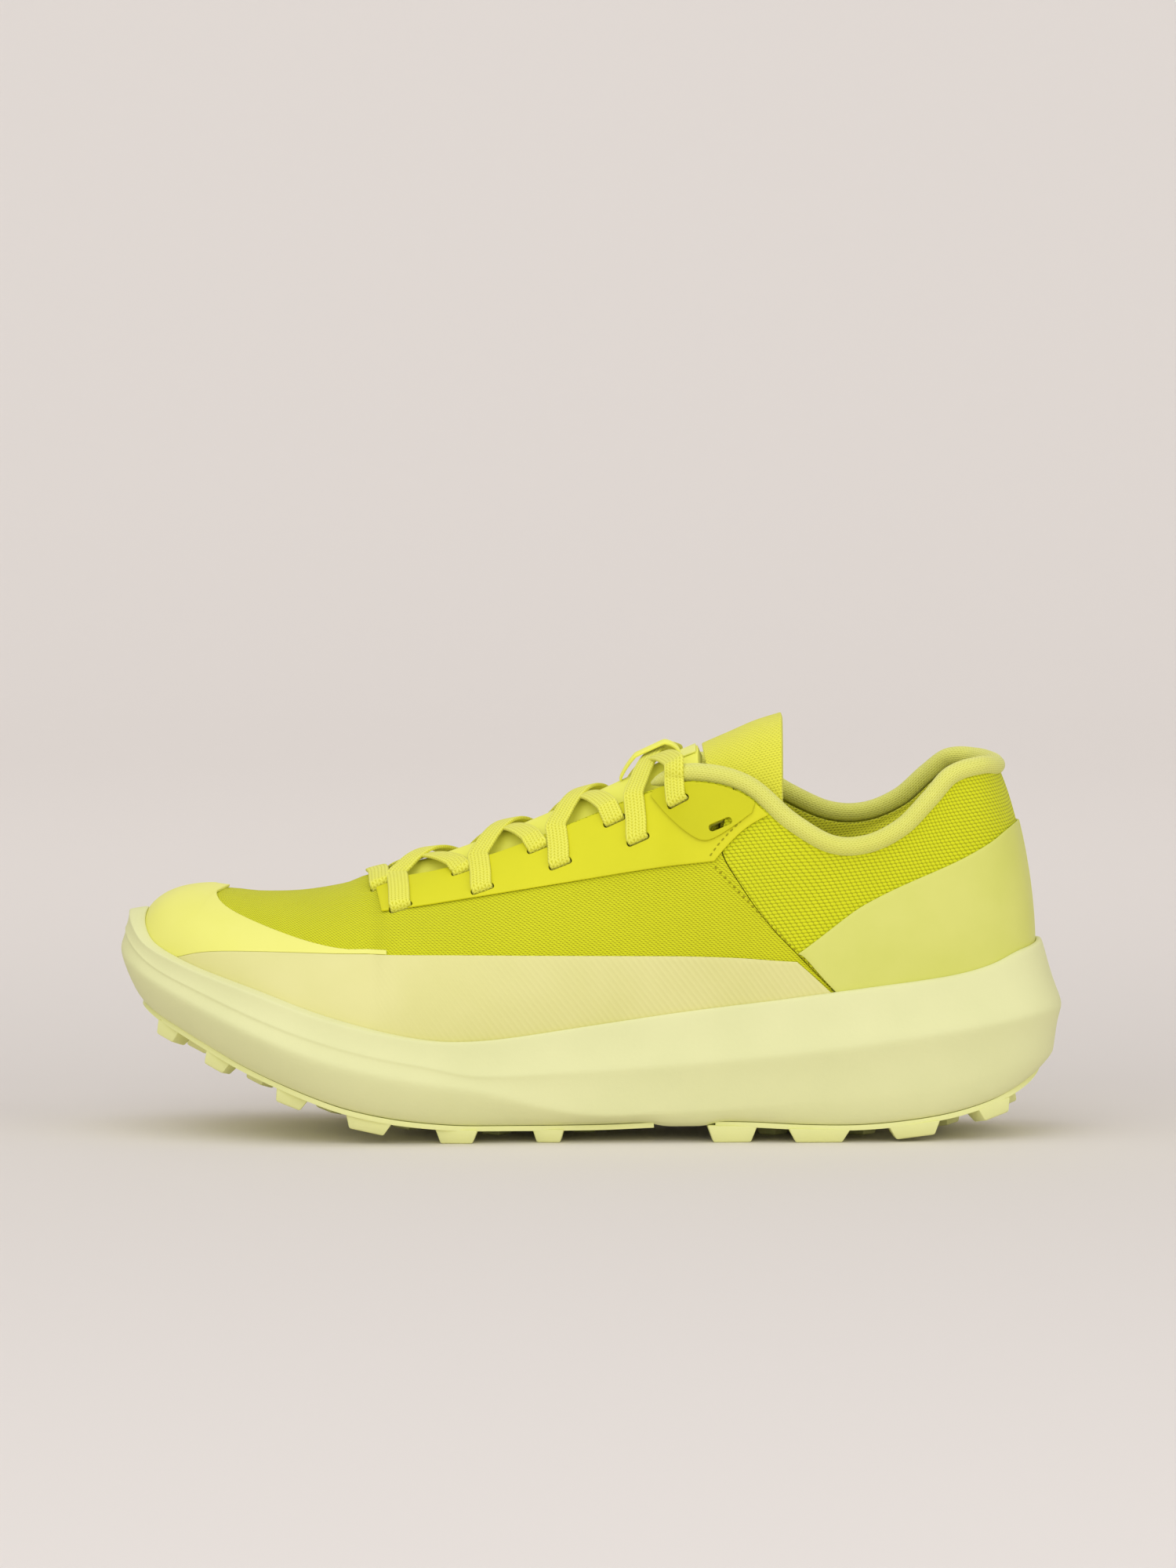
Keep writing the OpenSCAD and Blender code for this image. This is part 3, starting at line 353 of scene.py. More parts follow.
def cellPart(minus, floor, value):
    # how far a value is from the middle of its whole step, -0.5 to 0.5, and the step's number
    whole = floor(value)
    return minus(minus(value, whole), 0.5), whole


def newGroup(name, inputs, outputs):
    group = bpy.data.node_groups.new(name, "ShaderNodeTree")
    for label, kind, value in inputs:
        socket = group.interface.new_socket(name=label, in_out="INPUT", socket_type=kind)
        if value is not None:
            socket.default_value = value
    for label, kind in outputs:
        group.interface.new_socket(name=label, in_out="OUTPUT", socket_type=kind)
    return group, node(group, "NodeGroupInput").outputs, node(group, "NodeGroupOutput").inputs


vectorIn = ("Vector", "NodeSocketVector", None)


def number(label, *value):
    return (label, "NodeSocketFloat", *value)


def makeGrainGroup():
    group, given, result = newGroup(
        "fineGrain", [vectorIn, number("Scale", 900)],
        [number("Height"), number("Cloud")])
    fine = node(group, "ShaderNodeTexNoise")
    fine.inputs["Detail"].default_value = 3
    group.links.new(given["Vector"], fine.inputs["Vector"])
    group.links.new(given["Scale"], fine.inputs["Scale"])
    cloud = node(group, "ShaderNodeTexNoise")
    cloud.inputs["Scale"].default_value = 38
    cloud.inputs["Detail"].default_value = 4
    group.links.new(given["Vector"], cloud.inputs["Vector"])
    group.links.new(fine.outputs["Fac"], result["Height"])
    group.links.new(cloud.outputs["Fac"], result["Cloud"])
    return group


def makeKnitGroup():
    # rows of slanted oval loops, each row shifted by half a loop; the second output marks the gaps between
    # them, where painted shade goes
    group, given, result = newGroup(
        "knitLoops",
        [vectorIn, number("Pitch", 1.3), number("Row", 0.8), number("Slant", 0.5), number("Fullness", 1.0)],
        [number("Height"), number("Gap")])
    add, minus, times, over, power, floor, modulo, size, sine, left = mathsOf(group)
    parts = node(group, "ShaderNodeSeparateXYZ")
    group.links.new(given["Vector"], parts.inputs[0])
    rowPart, rowNumber = cellPart(minus, floor, over(parts.outputs[1], given["Row"]))
    along = add(over(parts.outputs[0], given["Pitch"]), times(modulo(rowNumber, 2), 0.5))
    along = add(along, times(rowPart, given["Slant"]))
    alongPart = cellPart(minus, floor, along)[0]
    reach = add(power(size(times(alongPart, 2)), 2.2), power(size(times(rowPart, 2)), 2.2))
    height = power(left(given["Fullness"], reach), 0.5)
    group.links.new(height, result["Height"])
    # painted shade mask: high in the hollows between the loops
    group.links.new(left(1, times(height, 1.7)), result["Gap"])
    return group


def makeRibGroup():
    # fine parallel ribs across the x and y of the vector, turned by Lean
    group, given, result = newGroup(
        "fineRibs",
        [vectorIn, number("Pitch", 2.0), number("Lean", 0.7)],
        [number("Height")])
    add, minus, times, over, power, floor, modulo, size, sine, left = mathsOf(group)
    parts = node(group, "ShaderNodeSeparateXYZ")
    group.links.new(given["Vector"], parts.inputs[0])
    across = add(parts.outputs[0], times(parts.outputs[1], given["Lean"]))
    turn = times(over(across, given["Pitch"]), 2 * math.pi)
    group.links.new(add(times(sine(turn), 0.5), 0.5), result["Height"])
    return group


def makeBraidGroup():
    # slanted strands whose lean turns over in the middle of each band, as in a flat braid
    group, given, result = newGroup(
        "flatBraid",
        [vectorIn, number("Strand", 1.1), number("Band", 1.15)],
        [number("Height")])
    add, minus, times, over, power, floor, modulo, size, sine, left = mathsOf(group)
    parts = node(group, "ShaderNodeSeparateXYZ")
    group.links.new(given["Vector"], parts.inputs[0])
    part, row = cellPart(minus, floor, over(parts.outputs[1], given["Band"]))
    lean = minus(times(size(modulo(row, 2)), 2), 1)
    along = add(over(parts.outputs[0], given["Strand"]), times(times(part, lean), 0.9))
    alongPart = cellPart(minus, floor, along)[0]
    reach = add(power(size(times(alongPart, 2)), 2), power(size(times(part, 2)), 2))
    group.links.new(power(left(1.15, reach), 0.5), result["Height"])
    return group


groups = {"grain": makeGrainGroup(), "knit": makeKnitGroup(), "ribs": makeRibGroup(),
          "braid": makeBraidGroup()}


def newMaterial(name, colour, shade, roughness, bump, sheen=0.0, pattern=None, values=None, gap=None,
                grainScale=900, fadeX=None):
    # colour and shade are two tones mixed at random by a soft cloud; the pattern gives height, and gap is
    # painted shade: a darker colour put into its hollows;
    # bump is its strength and distance, and fadeX the two places in X between which the pattern comes up
    material = bpy.data.materials.new(name)
    material.use_nodes = True
    tree = material.node_tree
    shader = tree.nodes["Principled BSDF"]
    shader.inputs["Roughness"].default_value = roughness
    shader.inputs["Sheen Weight"].default_value = sheen
    shader.inputs["Sheen Roughness"].default_value = 0.5
    shader.inputs["Specular IOR Level"].default_value = 0.35
    place = node(tree, "ShaderNodeTexCoord", (-1200, 0))
    grain = node(tree, "ShaderNodeGroup", (-900, -200), node_tree=groups["grain"])
    grain.inputs["Scale"].default_value = grainScale
    tree.links.new(place.outputs["Object"], grain.inputs["Vector"])
    blend = node(tree, "ShaderNodeMix", (-500, 200), data_type="RGBA")
    blend.inputs["A"].default_value = tone(*colour)
    blend.inputs["B"].default_value = tone(*shade)
    cloud = math2(tree, "SUBTRACT", grain.outputs["Cloud"], 0.35, clamp=True)
    tree.links.new(math2(tree, "MULTIPLY", cloud, 2.2, clamp=True), blend.inputs["Factor"])
    base, height = blend.outputs["Result"], grain.outputs["Height"]
    if pattern:
        made = node(tree, "ShaderNodeGroup", (-900, 200), node_tree=groups[pattern])
        for key, value in (values or {}).items():
            made.inputs[key].default_value = value
        tree.links.new(place.outputs["UV"], made.inputs["Vector"])
        shape = made.outputs["Height"]
        if fadeX:
            parts = node(tree, "ShaderNodeSeparateXYZ")
            tree.links.new(place.outputs["Object"], parts.inputs[0])
            fade = node(tree, "ShaderNodeMapRange")
            tree.links.new(parts.outputs[0], fade.inputs["Value"])
            fade.inputs["From Min"].default_value, fade.inputs["From Max"].default_value = fadeX
            shape = math2(tree, "MULTIPLY", shape, fade.outputs[0])
        height = math2(tree, "ADD", shape, math2(tree, "MULTIPLY", grain.outputs["Height"], 0.25))
        # painted shade: the hollows between loops or strands take the darker gap colour
        if gap:
            hollowShade = node(tree, "ShaderNodeMix", (-300, 100), data_type="RGBA")
            tree.links.new(base, hollowShade.inputs["A"])
            hollowShade.inputs["B"].default_value = tone(*gap)
            if "Gap" in made.outputs:
                source = made.outputs["Gap"]
            else:
                # for a pattern without its own mask, the painted shade falls where the height is low
                source = math2(tree, "SUBTRACT", 1, math2(tree, "MULTIPLY", shape, 1.6), clamp=True)
            tree.links.new(source, hollowShade.inputs["Factor"])
            base = hollowShade.outputs["Result"]
    tree.links.new(base, shader.inputs["Base Color"])
    relief = node(tree, "ShaderNodeBump", (-200, -200))
    relief.inputs["Strength"].default_value = bump[0]
    relief.inputs["Distance"].default_value = bump[1]
    tree.links.new(height, relief.inputs["Height"])
    tree.links.new(relief.outputs["Normal"], shader.inputs["Normal"])
    return material


# name, colour, shade, roughness, bump, then what a material has beyond those
# a gap colour, where given, is painted shade: a darker colour in the hollows of the knit or braid
materialRows = {
    "foam": ("midsoleFoam", (234, 234, 176), (228, 229, 170), 0.62, (0.12, 0.0004), {"grainScale": 700}),
    "rubber": ("outsoleRubber", (242, 243, 170), (236, 238, 160), 0.5, (0.12, 0.0003), {"grainScale": 500}),
    "frontKnit": ("forefootKnit", (226, 229, 22), (220, 223, 16), 0.8, (0.55, 0.0005),
        {"sheen": 0.08, "pattern": "knit", "gap": (168, 160, 0),
         "values": {"Pitch": 1.35, "Row": 0.62, "Slant": 0.55, "Fullness": 1.1}}),
    "rearKnit": ("rearKnit", (226, 230, 16), (220, 225, 10), 0.75, (0.6, 0.0006),
        {"sheen": 0.05, "pattern": "knit", "gap": (176, 176, 0),
         "values": {"Pitch": 1.7, "Row": 1.15, "Slant": 0.35, "Fullness": 1.05}}),
    "paleFilm": ("mudguardFilm", (233, 228, 155), (227, 223, 145), 0.48, (0.3, 0.0003),
        {"pattern": "ribs", "grainScale": 700, "fadeX": (-0.075, -0.03),
         "values": {"Pitch": 2.1, "Lean": 0.75}}),
    "toeFilm": ("toeFilm", (245, 243, 130), (241, 240, 116), 0.45, (0.08, 0.0003), {"grainScale": 800}),
    "heelFilm": ("heelFilm", (225, 226, 120), (217, 220, 106), 0.48, (0.08, 0.0003), {"grainScale": 800}),
    "eyestayFilm": ("eyestayFilm", (226, 223, 22), (220, 218, 16), 0.6, (0.12, 0.0003),
        {"grainScale": 650}),
    "raisedFilm": ("raisedFilm", (212, 210, 0), (205, 203, 0), 0.62, (0.12, 0.0003), {"grainScale": 650}),
    "tongueFilm": ("tongueFabric", (249, 249, 104), (245, 245, 94), 0.6, (0.15, 0.0003), {"sheen": 0.1}),
    "band": ("tongueBand", (244, 244, 138), (240, 240, 128), 0.5, (0.1, 0.0003), {}),
    "tongueKnit": ("tongueKnit", (243, 241, 78), (238, 236, 64), 0.85, (0.5, 0.0005),
        {"sheen": 0.25, "pattern": "knit", "gap": (200, 196, 20),
         "values": {"Pitch": 1.5, "Row": 0.8, "Slant": 0.9, "Fullness": 1.2}}),
    "rollKnit": ("rollKnit", (243, 243, 124), (238, 238, 112), 0.85, (0.55, 0.0005),
        {"sheen": 0.3, "pattern": "knit", "gap": (214, 212, 70),
         "values": {"Pitch": 1.2, "Row": 0.7, "Slant": 0.9, "Fullness": 1.15}}),
    "liningKnit": ("liningKnit", (226, 226, 50), (218, 218, 42), 0.9, (0.5, 0.0005),
        {"sheen": 0.2, "pattern": "knit", "gap": (150, 148, 10),
         "values": {"Pitch": 1.3, "Row": 0.9, "Slant": 0.6, "Fullness": 1.2}}),
    "lace": ("laceBraid", (247, 246, 96), (243, 242, 84), 0.75, (0.6, 0.0004),
        {"sheen": 0.2, "pattern": "braid", "gap": (222, 218, 40),
         "values": {"Strand": 1.05, "Band": 1.14}}),
    "sockliner": ("socklinerCloth", (214, 214, 78), (206, 206, 68), 0.9, (0.4, 0.0004),
        {"sheen": 0.2, "grainScale": 1500}),
    "board": ("boardFelt", (206, 206, 196), (196, 196, 186), 0.95, (0.4, 0.0004),
        {"sheen": 0.1, "grainScale": 1600}),
    "counter": ("counterShell", (226, 226, 220), (218, 218, 212), 0.6, (0.1, 0.0003), {}),
    "thread": ("seamThread", (170, 166, 6), (160, 156, 4), 0.7, (0.3, 0.0002), {"grainScale": 2500}),
    "floor": ("studioFloor", (229, 223, 219), (229, 223, 219), 0.9, (0.0, 0.0001), {"grainScale": 50}),
}
materials = {key: newMaterial(*row[:-1], **row[-1]) for key, row in materialRows.items()}
print("materials made")


# Sole
sole = {"ringColumns": 260, "core": 30, "edge": 7}
# angle, z of the lower ridge, its inset, z of the upper ridge, its inset
ridges = [
    (0, 27, 2.6, 41.5, 0), (20, 25, 2.6, 40, 0), (43, 17.5, 2.8, 34.8, 0), (66, 12.5, 2.8, 28.4, 0),
    (80, 10.2, 2.0, 25, 0.1), (91, 9.8, 0.9, 23, 0.5), (104, 17.4, 0.1, 21.8, 0.9),
    (110, 19.8, 0, 24.8, 1.2), (118, 23.6, 0, 28.6, 1.5), (126, 28.4, 0, 33.4, 1.6),
    (146, 43, 0, 47.2, 1.5), (160, 51, 0, 54.6, 1.4), (174, 57.4, 0, 62.5, 1.3), (180, 59, 0, 64.5, 1.3)]


def ringAngle(c):
    return mix(180 * c, 90 * (1 - np.cos(np.pi * c)), 0.6)


def aroundSole(u):
    c = np.abs(2 * u - 1)
    return np.where(u < 0.5, -1, 1) * ringAngle(c)


def soleRings(w):
    rim, rimZ, bed = soleColumn(w, 3), soleColumn(w, 2), soleColumn(w, 1)
    lowZ, lowIn, highZ, highIn = (smooth(ridges, np.abs(w), k) for k in (1, 2, 3, 4))
    lowIn, highIn = np.maximum(lowIn, 0), np.maximum(highIn, 0)
    def under(inset):
        # the foam comes down level with the rubber in the space between the two rubbers
        x = solePoint(w, inset, 0)[..., 0]
        return underZ(x) + layers["rubber"] * np.clip((np.abs(x - 29.7) - 8.4) / 1.6, 0.05, 1)
    base = under(sole["edge"])

    def cup(share, room=layers["gap"]):
        return lift(w, ribAt(w, mix(bed, rimZ, share)), np.full(w.shape, filmHigh + room))
    def wall(share, height, out=0.0):
        # on the lower wall, between the rubber's edge and the lower ridge
        return solePoint(w, mix(6.2, lowIn, share) + out, mix(base, lowZ, height))

    def belt(share, out):
        # between the two ridges
        return solePoint(w, mix(lowIn, highIn, share) + out, mix(lowZ, highZ, share))

    def shoulder(share, height, out):
        # between the upper ridge and the rim
        return solePoint(w, mix(highIn, rim, share) + out, mix(highZ, rimZ, height))
    rings = [
        solePoint(w, sole["core"], under(sole["core"])), solePoint(w, 9, under(9)), solePoint(w, 7.3, base),
        solePoint(w, 6.4, base + 0.7), wall(0.3, 0.22, 0.1), wall(0.72, 0.6),
        solePoint(w, lowIn + 0.35, mix(base, lowZ, 0.86)), solePoint(w, lowIn, lowZ), belt(0.3, 0.25),
        belt(0.65, 0.45), solePoint(w, highIn + 0.3, mix(lowZ, highZ, 0.9)), solePoint(w, highIn, highZ),
        solePoint(w, highIn + 0.5, mix(highZ, rimZ, 0.1)), shoulder(0.42, 0.4, 0.35),
        shoulder(0.75, 0.75, 0.15),
        solePoint(w, rim - 0.35, mix(highZ, rimZ, 0.94)), solePoint(w, rim + 0.05, rimZ - 0.25),
        solePoint(w, rim + 0.5, rimZ), cup(1, 0.5), cup(0.99, 0.06), cup(0.93, 0.06), cup(0.6), cup(0.3),
        solePoint(w, rim + layers["rim"], bed),
        solePoint(w, sole["core"], bedZ(solePoint(w, sole["core"], 0)[..., 0]))]
    return np.stack(rings)


def acrossRings(u, v, rings):
    # the grid's rows are the rings themselves
    w = aroundSole(u)
    row = np.rint(v * (len(rings(w[:1])) - 1)).astype(int)
    return rings(w)[row, np.arange(len(w))]


def ringSolid(name, columns, rings):
    rows = len(rings(np.zeros(1))) - 1
    obj = layGrid(name, columns, rows, lambda u, v: acrossRings(u, v, rings), lambda u, v: (u * 700, v * 60))
    editMesh(obj, weld, closeEnds, outward)
    return obj


def makeMidsole():
    obj = ringSolid("midsoleFoam", sole["ringColumns"], soleRings)
    applyModifier(obj, "SUBSURF", levels=1, render_levels=1)
    return done(obj, materials["foam"], ["midsole"], angle=60)


def makeSoleSheet(name, low, high):
    # the rubber between the lugs: a grid over the underside, thickened upwards
    def shape(u, v):
        x = mix(low, high, 0.5 - 0.5 * np.cos(np.pi * u) if low < -100 or high > 100 else u)
        reach = last["halfLength"] - sole["edge"]
        w = np.degrees(np.arccos(np.clip(x / reach, -1, 1)))
        left, right = (solePoint(side * w, sole["edge"] - 0.2, 0)[..., 1] for side in (-1, 1))
        return stack3(x, mix(left, right, 0.5 - 0.5 * np.cos(np.pi * v)), underZ(x))
    obj = layGrid(name, 90, 30, shape, lambda u, v: (u * 150, v * 90))
    editMesh(obj, weld)
    thicken(obj, layers["rubber"], 1, 0.35)
    return obj


lugs = {"foreSheet": (-143, 20), "heelSheet": (39.5, 143), "depth": 4.0, "edgeInset": 12, "edgeWidth": 11,
        "foreEdge": [(-132, 9), (-116.8, 9.4), (-94.2, 11), (-70, 15), (-42.3, 13.6), (-13.2, 10)],
        "heelEdge": [(44.6, 16), (72.1, 19.8), (102.1, 16.6), (126, 12)],
        # x of the pairs in the middle, and how far each stands from the middle line
        "forePairs": [-104, -82, -58, -30], "foreApart": 11, "heelPairs": [58, 86, 112], "heelApart": 9,
        # length, width and turn of a lug in a pair; x and width of the single ones
        "pair": (9, 9, 35), "foreSingles": [(-124, 14), (-2, 14)], "heelSingles": [(131, 16)],
        "bevel": 0.0006}


def makeLug(x, y, long, wide, spin):
    z = float(underZ(x))
    tilt = math.atan((float(underZ(x - 1)) - float(underZ(x + 1))) / 2)
    turn = math.radians(spin)
    deselectAll()
    bpy.ops.mesh.primitive_cube_add(size=1)
    obj = bpy.context.object
    level = z < lugs["depth"] + 1.2
    for vertex in obj.data.vertices:
        top = vertex.co.z > 0
        flat = level and not top
        a, b = vertex.co.x * long * (1 if top else 0.74), vertex.co.y * wide * (1 if top else 0.76)
        c = 0.5 if top else (0 if level else -lugs["depth"])
        lean = 0 if flat else tilt
        a, b = a * math.cos(turn) - b * math.sin(turn), a * math.sin(turn) + b * math.cos(turn)
        across = Vector((a * math.cos(lean) + c * math.sin(lean), b, c * math.cos(lean) - a * math.sin(lean)))
        vertex.co = (Vector((x, y, 0 if flat else z)) + across) * 0.001
    applyModifier(obj, "BEVEL", width=lugs["bevel"], segments=2, limit_method="ANGLE",
                  angle_limit=math.radians(30))
    return obj


def makeOutsole():
    def edgeLug(side, x, long):
        w = side * math.degrees(math.acos(x / (last["halfLength"] - lugs["edgeInset"])))
        p = solePoint(np.array(w), lugs["edgeInset"], 0)
        turn = math.copysign(max(3, 0.8 * abs(x) - 76), x)
        return makeLug(p[0], p[1], long, lugs["edgeWidth"], -side * turn)

    def centre(x):
        return float(smooth(last["swing"], math.degrees(math.acos(x / last["halfLength"]))))

    long, wide, turn = lugs["pair"]
    for name, part in (("outsoleForefoot", "fore"), ("outsoleHeel", "heel")):
        made = [makeSoleSheet(name, *lugs[part + "Sheet"])]
        made += [edgeLug(side, *spot) for spot in lugs[part + "Edge"] for side in (-1, 1)]
        for x in lugs[part + "Pairs"]:
            for side in (-1, 1):
                made.append(makeLug(x, centre(x) + side * lugs[part + "Apart"], long, wide, side * turn))
        made += [makeLug(x, centre(x), long, width, 0) for x, width in lugs[part + "Singles"]]
        done(joinAll(name, made), materials["rubber"], ["outsole_" + name[7:].lower()])


def makeSockliner():
    inset = featherInset + layers["mesh"] + 3 * layers["gap"] + layers["counter"] + layers["lining"]
    bottom = layers["board"] + 2 * layers["gap"]
    top = bottom + layers["sockliner"]

    def rings(w):
        rim, bed = soleColumn(w, 3), soleColumn(w, 1)
        core = solePoint(w, sole["core"], 0)

        def floorAt(more, raise_):
            share = (inset + more - layers["rim"]) / (sole["core"] - rim - layers["rim"])
            return solePoint(w, rim + inset + more, mix(bed, bedZ(core[..., 0]), share) + raise_)
        edge = [(0.2, bottom), (0, bottom + 0.4), (0.2, top - 0.6), (0.8, top - 0.05), (1.6, top)]
        low, high = (solePoint(w, sole["core"], bedZ(core[..., 0]) + face) for face in (bottom, top))
        return np.stack([low] + [floorAt(*spot) for spot in edge] + [high])
    obj = ringSolid("socklinerPad", 160, rings)
    return done(obj, materials["sockliner"], ["sockliner"], "sockliner", angle=50)


makeMidsole()
makeOutsole()
makeSockliner()
print("sole made")


# Upper panels
def runningLength(points, axis):
    # the length run up along an axis of a row or grid of points, from 0
    steps = np.cumsum(np.linalg.norm(np.diff(points, axis=axis), axis=-1), axis=axis)
    return np.concatenate([np.zeros_like(np.take(steps, [0], axis)), steps], axis=axis)


# lengths along the last and up its ribs, at even steps of w and t
wSteps, tSteps = np.linspace(-180, 180, 721), np.linspace(0, 1, 41)
alongLength = runningLength(lastPoint(wSteps, np.full(len(wSteps), 0.55)), 0)
ribLength = runningLength(lastPoint(wSteps[:, None], tSteps[None, :]), 1)


def flatAt(w, t):
    # the panel's own flat coordinates in millimetres: along the last and up the rib
    final, top = len(wSteps) - 1, len(tSteps) - 1
    row = np.clip((np.asarray(w) + 180) / 360 * final, 0, final)
    column = np.clip(t, 0, 1) * top
    low, left = np.floor(row).astype(int), np.floor(column).astype(int)
    high, right = np.minimum(low + 1, final), np.minimum(left + 1, top)
    lower = mix(ribLength[low, left], ribLength[low, right], column - left)
    upper = mix(ribLength[high, left], ribLength[high, right], column - left)
    return np.interp(w, wSteps, alongLength), mix(lower, upper, row - low)


def makePanel(name, columns, rows, place, depth, thick, offset=1, edge=0.0):
    # place gives [w, t] for the grid's u and v, with w rising
    def shape(u, v):
        w, t = place(u, v)
        return lift(w, t, depth(w, t) if callable(depth) else np.full(w.shape, float(depth)))
    obj = layGrid(name, columns, rows, shape, lambda u, v: flatAt(*place(u, v)))
    middle = place(np.array([0.3, 0.32]), np.array([0.5, 0.5]))
    if (middle[0][0] > middle[0][1]):
        editMesh(obj, weld, bpy.ops.mesh.flip_normals)
    else:
        editMesh(obj, weld)
    if thick:
        thicken(obj, thick, offset, edge)
    return obj


def horseshoePlace(u, v):
    # from the outer side's seam round the toe to the inner side's: u 0 to 0.5 falls to -180, then on from 180
    r = 2 - np.abs(4 * u - 2)
    seam = seamAt(v) + 0.1
    toe = 180 - (180 - last["ridgeAngle"]) * np.maximum(2 - r, 0) ** 1.35
    w = np.where(r <= 1, mix(seam, last["ridgeAngle"], r), toe)
    return np.where(u < 0.5, -1, 1) * w, v


def slotCutter(side, spots):
    # rounded slots square to the last, joined into one cutter
    made = []
    for w, t in spots:
        p, n, long = lastPoint(w, t), lastNormal(w, t), slotLong(w, t)
        deselectAll()
        bpy.ops.mesh.primitive_cube_add(size=1)
        obj = bpy.context.object
        obj.name = "slotCutter"
        across = np.cross(n, long)
        size = (lace["width"] + 2 * lace["slotRoom"] - 0.2, 2 * lace["slotRoom"] + lace["thick"], 12)
        for vertex in obj.data.vertices:
            c = vertex.co
            point = p + c.x * size[0] * long + c.y * size[1] * across + c.z * size[2] * n
            vertex.co = Vector(point * 0.001)
        editMesh(obj, outward)
        activate(obj)
        bevel = obj.modifiers.new("round", "BEVEL")
        bevel.width, bevel.segments, bevel.limit_method = 0.00105, 3, "WEIGHT"
        weights = obj.data.attributes.new("bevel_weight_edge", "FLOAT", "EDGE")
        for edge in obj.data.edges:
            a, b = (np.array(obj.data.vertices[i].co) for i in edge.vertices)
            weights.data[edge.index].value = 1.0 if abs(np.dot(unit(b - a), n)) > 0.9 else 0.0
        bpy.ops.object.modifier_apply(modifier=bevel.name)
        made.append(obj)
    return joinAll("slotCutter", made)


def slotLong(w, t):
    n = lastNormal(w, t)
    return unit(np.cross(np.cross(n, unit(np.array([1, 0, 0.42]))), n))


def cutSlots(obj, side, spots):
    cutter = slotCutter(side, spots)
    activate(obj)
    cut = obj.modifiers.new("slots", "BOOLEAN")
    cut.operation, cut.object, cut.solver = "DIFFERENCE", cutter, "MANIFOLD"
    bpy.ops.object.modifier_apply(modifier=cut.name)
    bpy.data.objects.remove(cutter, do_unlink=True)


def sideHoles(side):
    x, z = np.array(last["slotsUp"] + last["slotsLow"]).T
    w, t = placeAt(side, x, z)
    return list(zip(w, t))


# the places of the upper and of the lower row of slots on each side
holes = {side: sideHoles(side) for side in (-1, 1)}
holes = {side: (found[:5], found[5:]) for side, found in holes.items()}


# the films' values: top edges as angle and z, ends as angles
films = {"bottom": 0.01, "mudTop": [(60, 59.1), (120, 59.1), (140, 59.6), (150, 59), (160, 56)],
         "mudRear": 60.0, "mudBend": 158, "mudFront": 165, "heelRear": 1.6, "heelFront": 59.5,
         "heelTop": [(0, 99.5), (10, 99), (20, 96.5), (35, 88), (52, 75.5), (62, 59.5)],
         "capRear": 117.0, "capTopFrom": 154.5, "stripHalf": 1.4, "stripTop": 99.5,
         "capTop": [(117, 59.6), (124, 60.8), (130, 63.2), (138, 67.6), (146, 71.8), (151, 74.5), (156, 77)]}


def mudTop(w):
    return ribAt(w, smooth(films["mudTop"], np.abs(w)))


def sided(side, u):
    # u rises with w: on the outer side from front to rear, on the inner side from rear to front
    return 1 - u if side < 0 else u


def mudEnd(w):
    # the mudguard's top edge, with its front end coming down to the midsole in a round corner
    a, bend = np.abs(w), films["mudBend"]
    drop = np.clip((a - bend) / (films["mudFront"] - bend), 0, 1)
    return mudTop(np.minimum(a, bend)) * np.sqrt(np.maximum(1 - drop**2, 0.0004))


def mudguardPlace(side):
    def place(u, v):
        r = sided(side, u)
        t = mix(films["bottom"], mudTop(side * mix(films["mudRear"], films["mudFront"], r)), v)
        w = side * mix(seamAt(t) + 0.15, films["mudFront"], r)
        return w, mix(films["bottom"], np.maximum(mudEnd(w), 0.02), v)
    return place


def heelPlace(side):
    def place(u, v):
        r = sided(side, u)
        w = side * mix(films["heelRear"], seamAt(0.41 * v) - 0.12, r**1.2)
        top = ribAt(w, smooth(films["heelTop"], np.abs(w)))
        # the front edge keeps to the seam all the way down
        top = mix(top, ribAt(w, films["heelFront"]), r**6 * (1 - v**8))
        return w, mix(films["bottom"], top, v)
    return place


def capPlace(u, v):
    k = np.abs(2 * u - 1)
    w = 180 - (180 - films["capRear"]) * k**1.35
    low = np.where(w >= films["mudFront"], films["bottom"], mudEnd(w) + 0.003)
    high = np.where(w > films["capTopFrom"], 1.0, ribAt(w, smooth(films["capTop"], w)))
    return np.where(u < 0.5, -1, 1) * w, mix(low, np.maximum(high, low + 0.02), v)


def stripPlace(u, v):
    w = mix(-films["stripHalf"], films["stripHalf"], u)
    return w, mix(films["bottom"], ribAt(w, np.full(u.shape, films["stripTop"])), v)


# x and z along the lower edges, the x of both ends, and how far the upper edge leans at its front and rear
eyestay = {"low": [(-66, 72), (-47.9, 74.7), (-13.2, 80.6), (23.9, 87), (39.2, 89)], "ends": (39.2, -66.0),
           "lean": (-4, 17), "patchEnds": (51.0, 19.5), "patchLean": (1, 1), "end": 0.985,
           "patchLow": [(19, 108.8), (26, 101.6), (33, 96.2), (37.5, 95.4), (45, 99.6), (51, 104)]}


def edgedPlace(side, edge, ends, lean):
    # from a lower edge given in x and z up to nearly the last's own top edge
    def place(u, v):
        r = sided(side, u)
        x = mix(ends[0], ends[1], r)
        w, t = placeAt(side, x, smooth(edge, x))
        high = angleAt(side, x + mix(lean[1], lean[0], r), np.full(x.shape, eyestay["end"]))
        return mix(w, high, v), mix(t, eyestay["end"], v)
    return place


def rearPlace(u, v):
    r = 2 * u - 1
    return np.sign(r) * np.abs(r) ** 1.35 * (seamAt(v) - 0.1), v


def rearLiningPlace(u, v):
    return rearPlace(u, 0.995 * v)


def paddingAt(w, t):
    front = smooth([(0, 1), (48, 1), (62, 0.35), (74, 0.12)], np.abs(w))
    full = np.where(t <= 0.42, 0, front * np.sin(np.pi * np.clip((t - 0.42) / 0.58, 0, 1)))
    return np.maximum(layers["counter"], layers["foam"] * full)


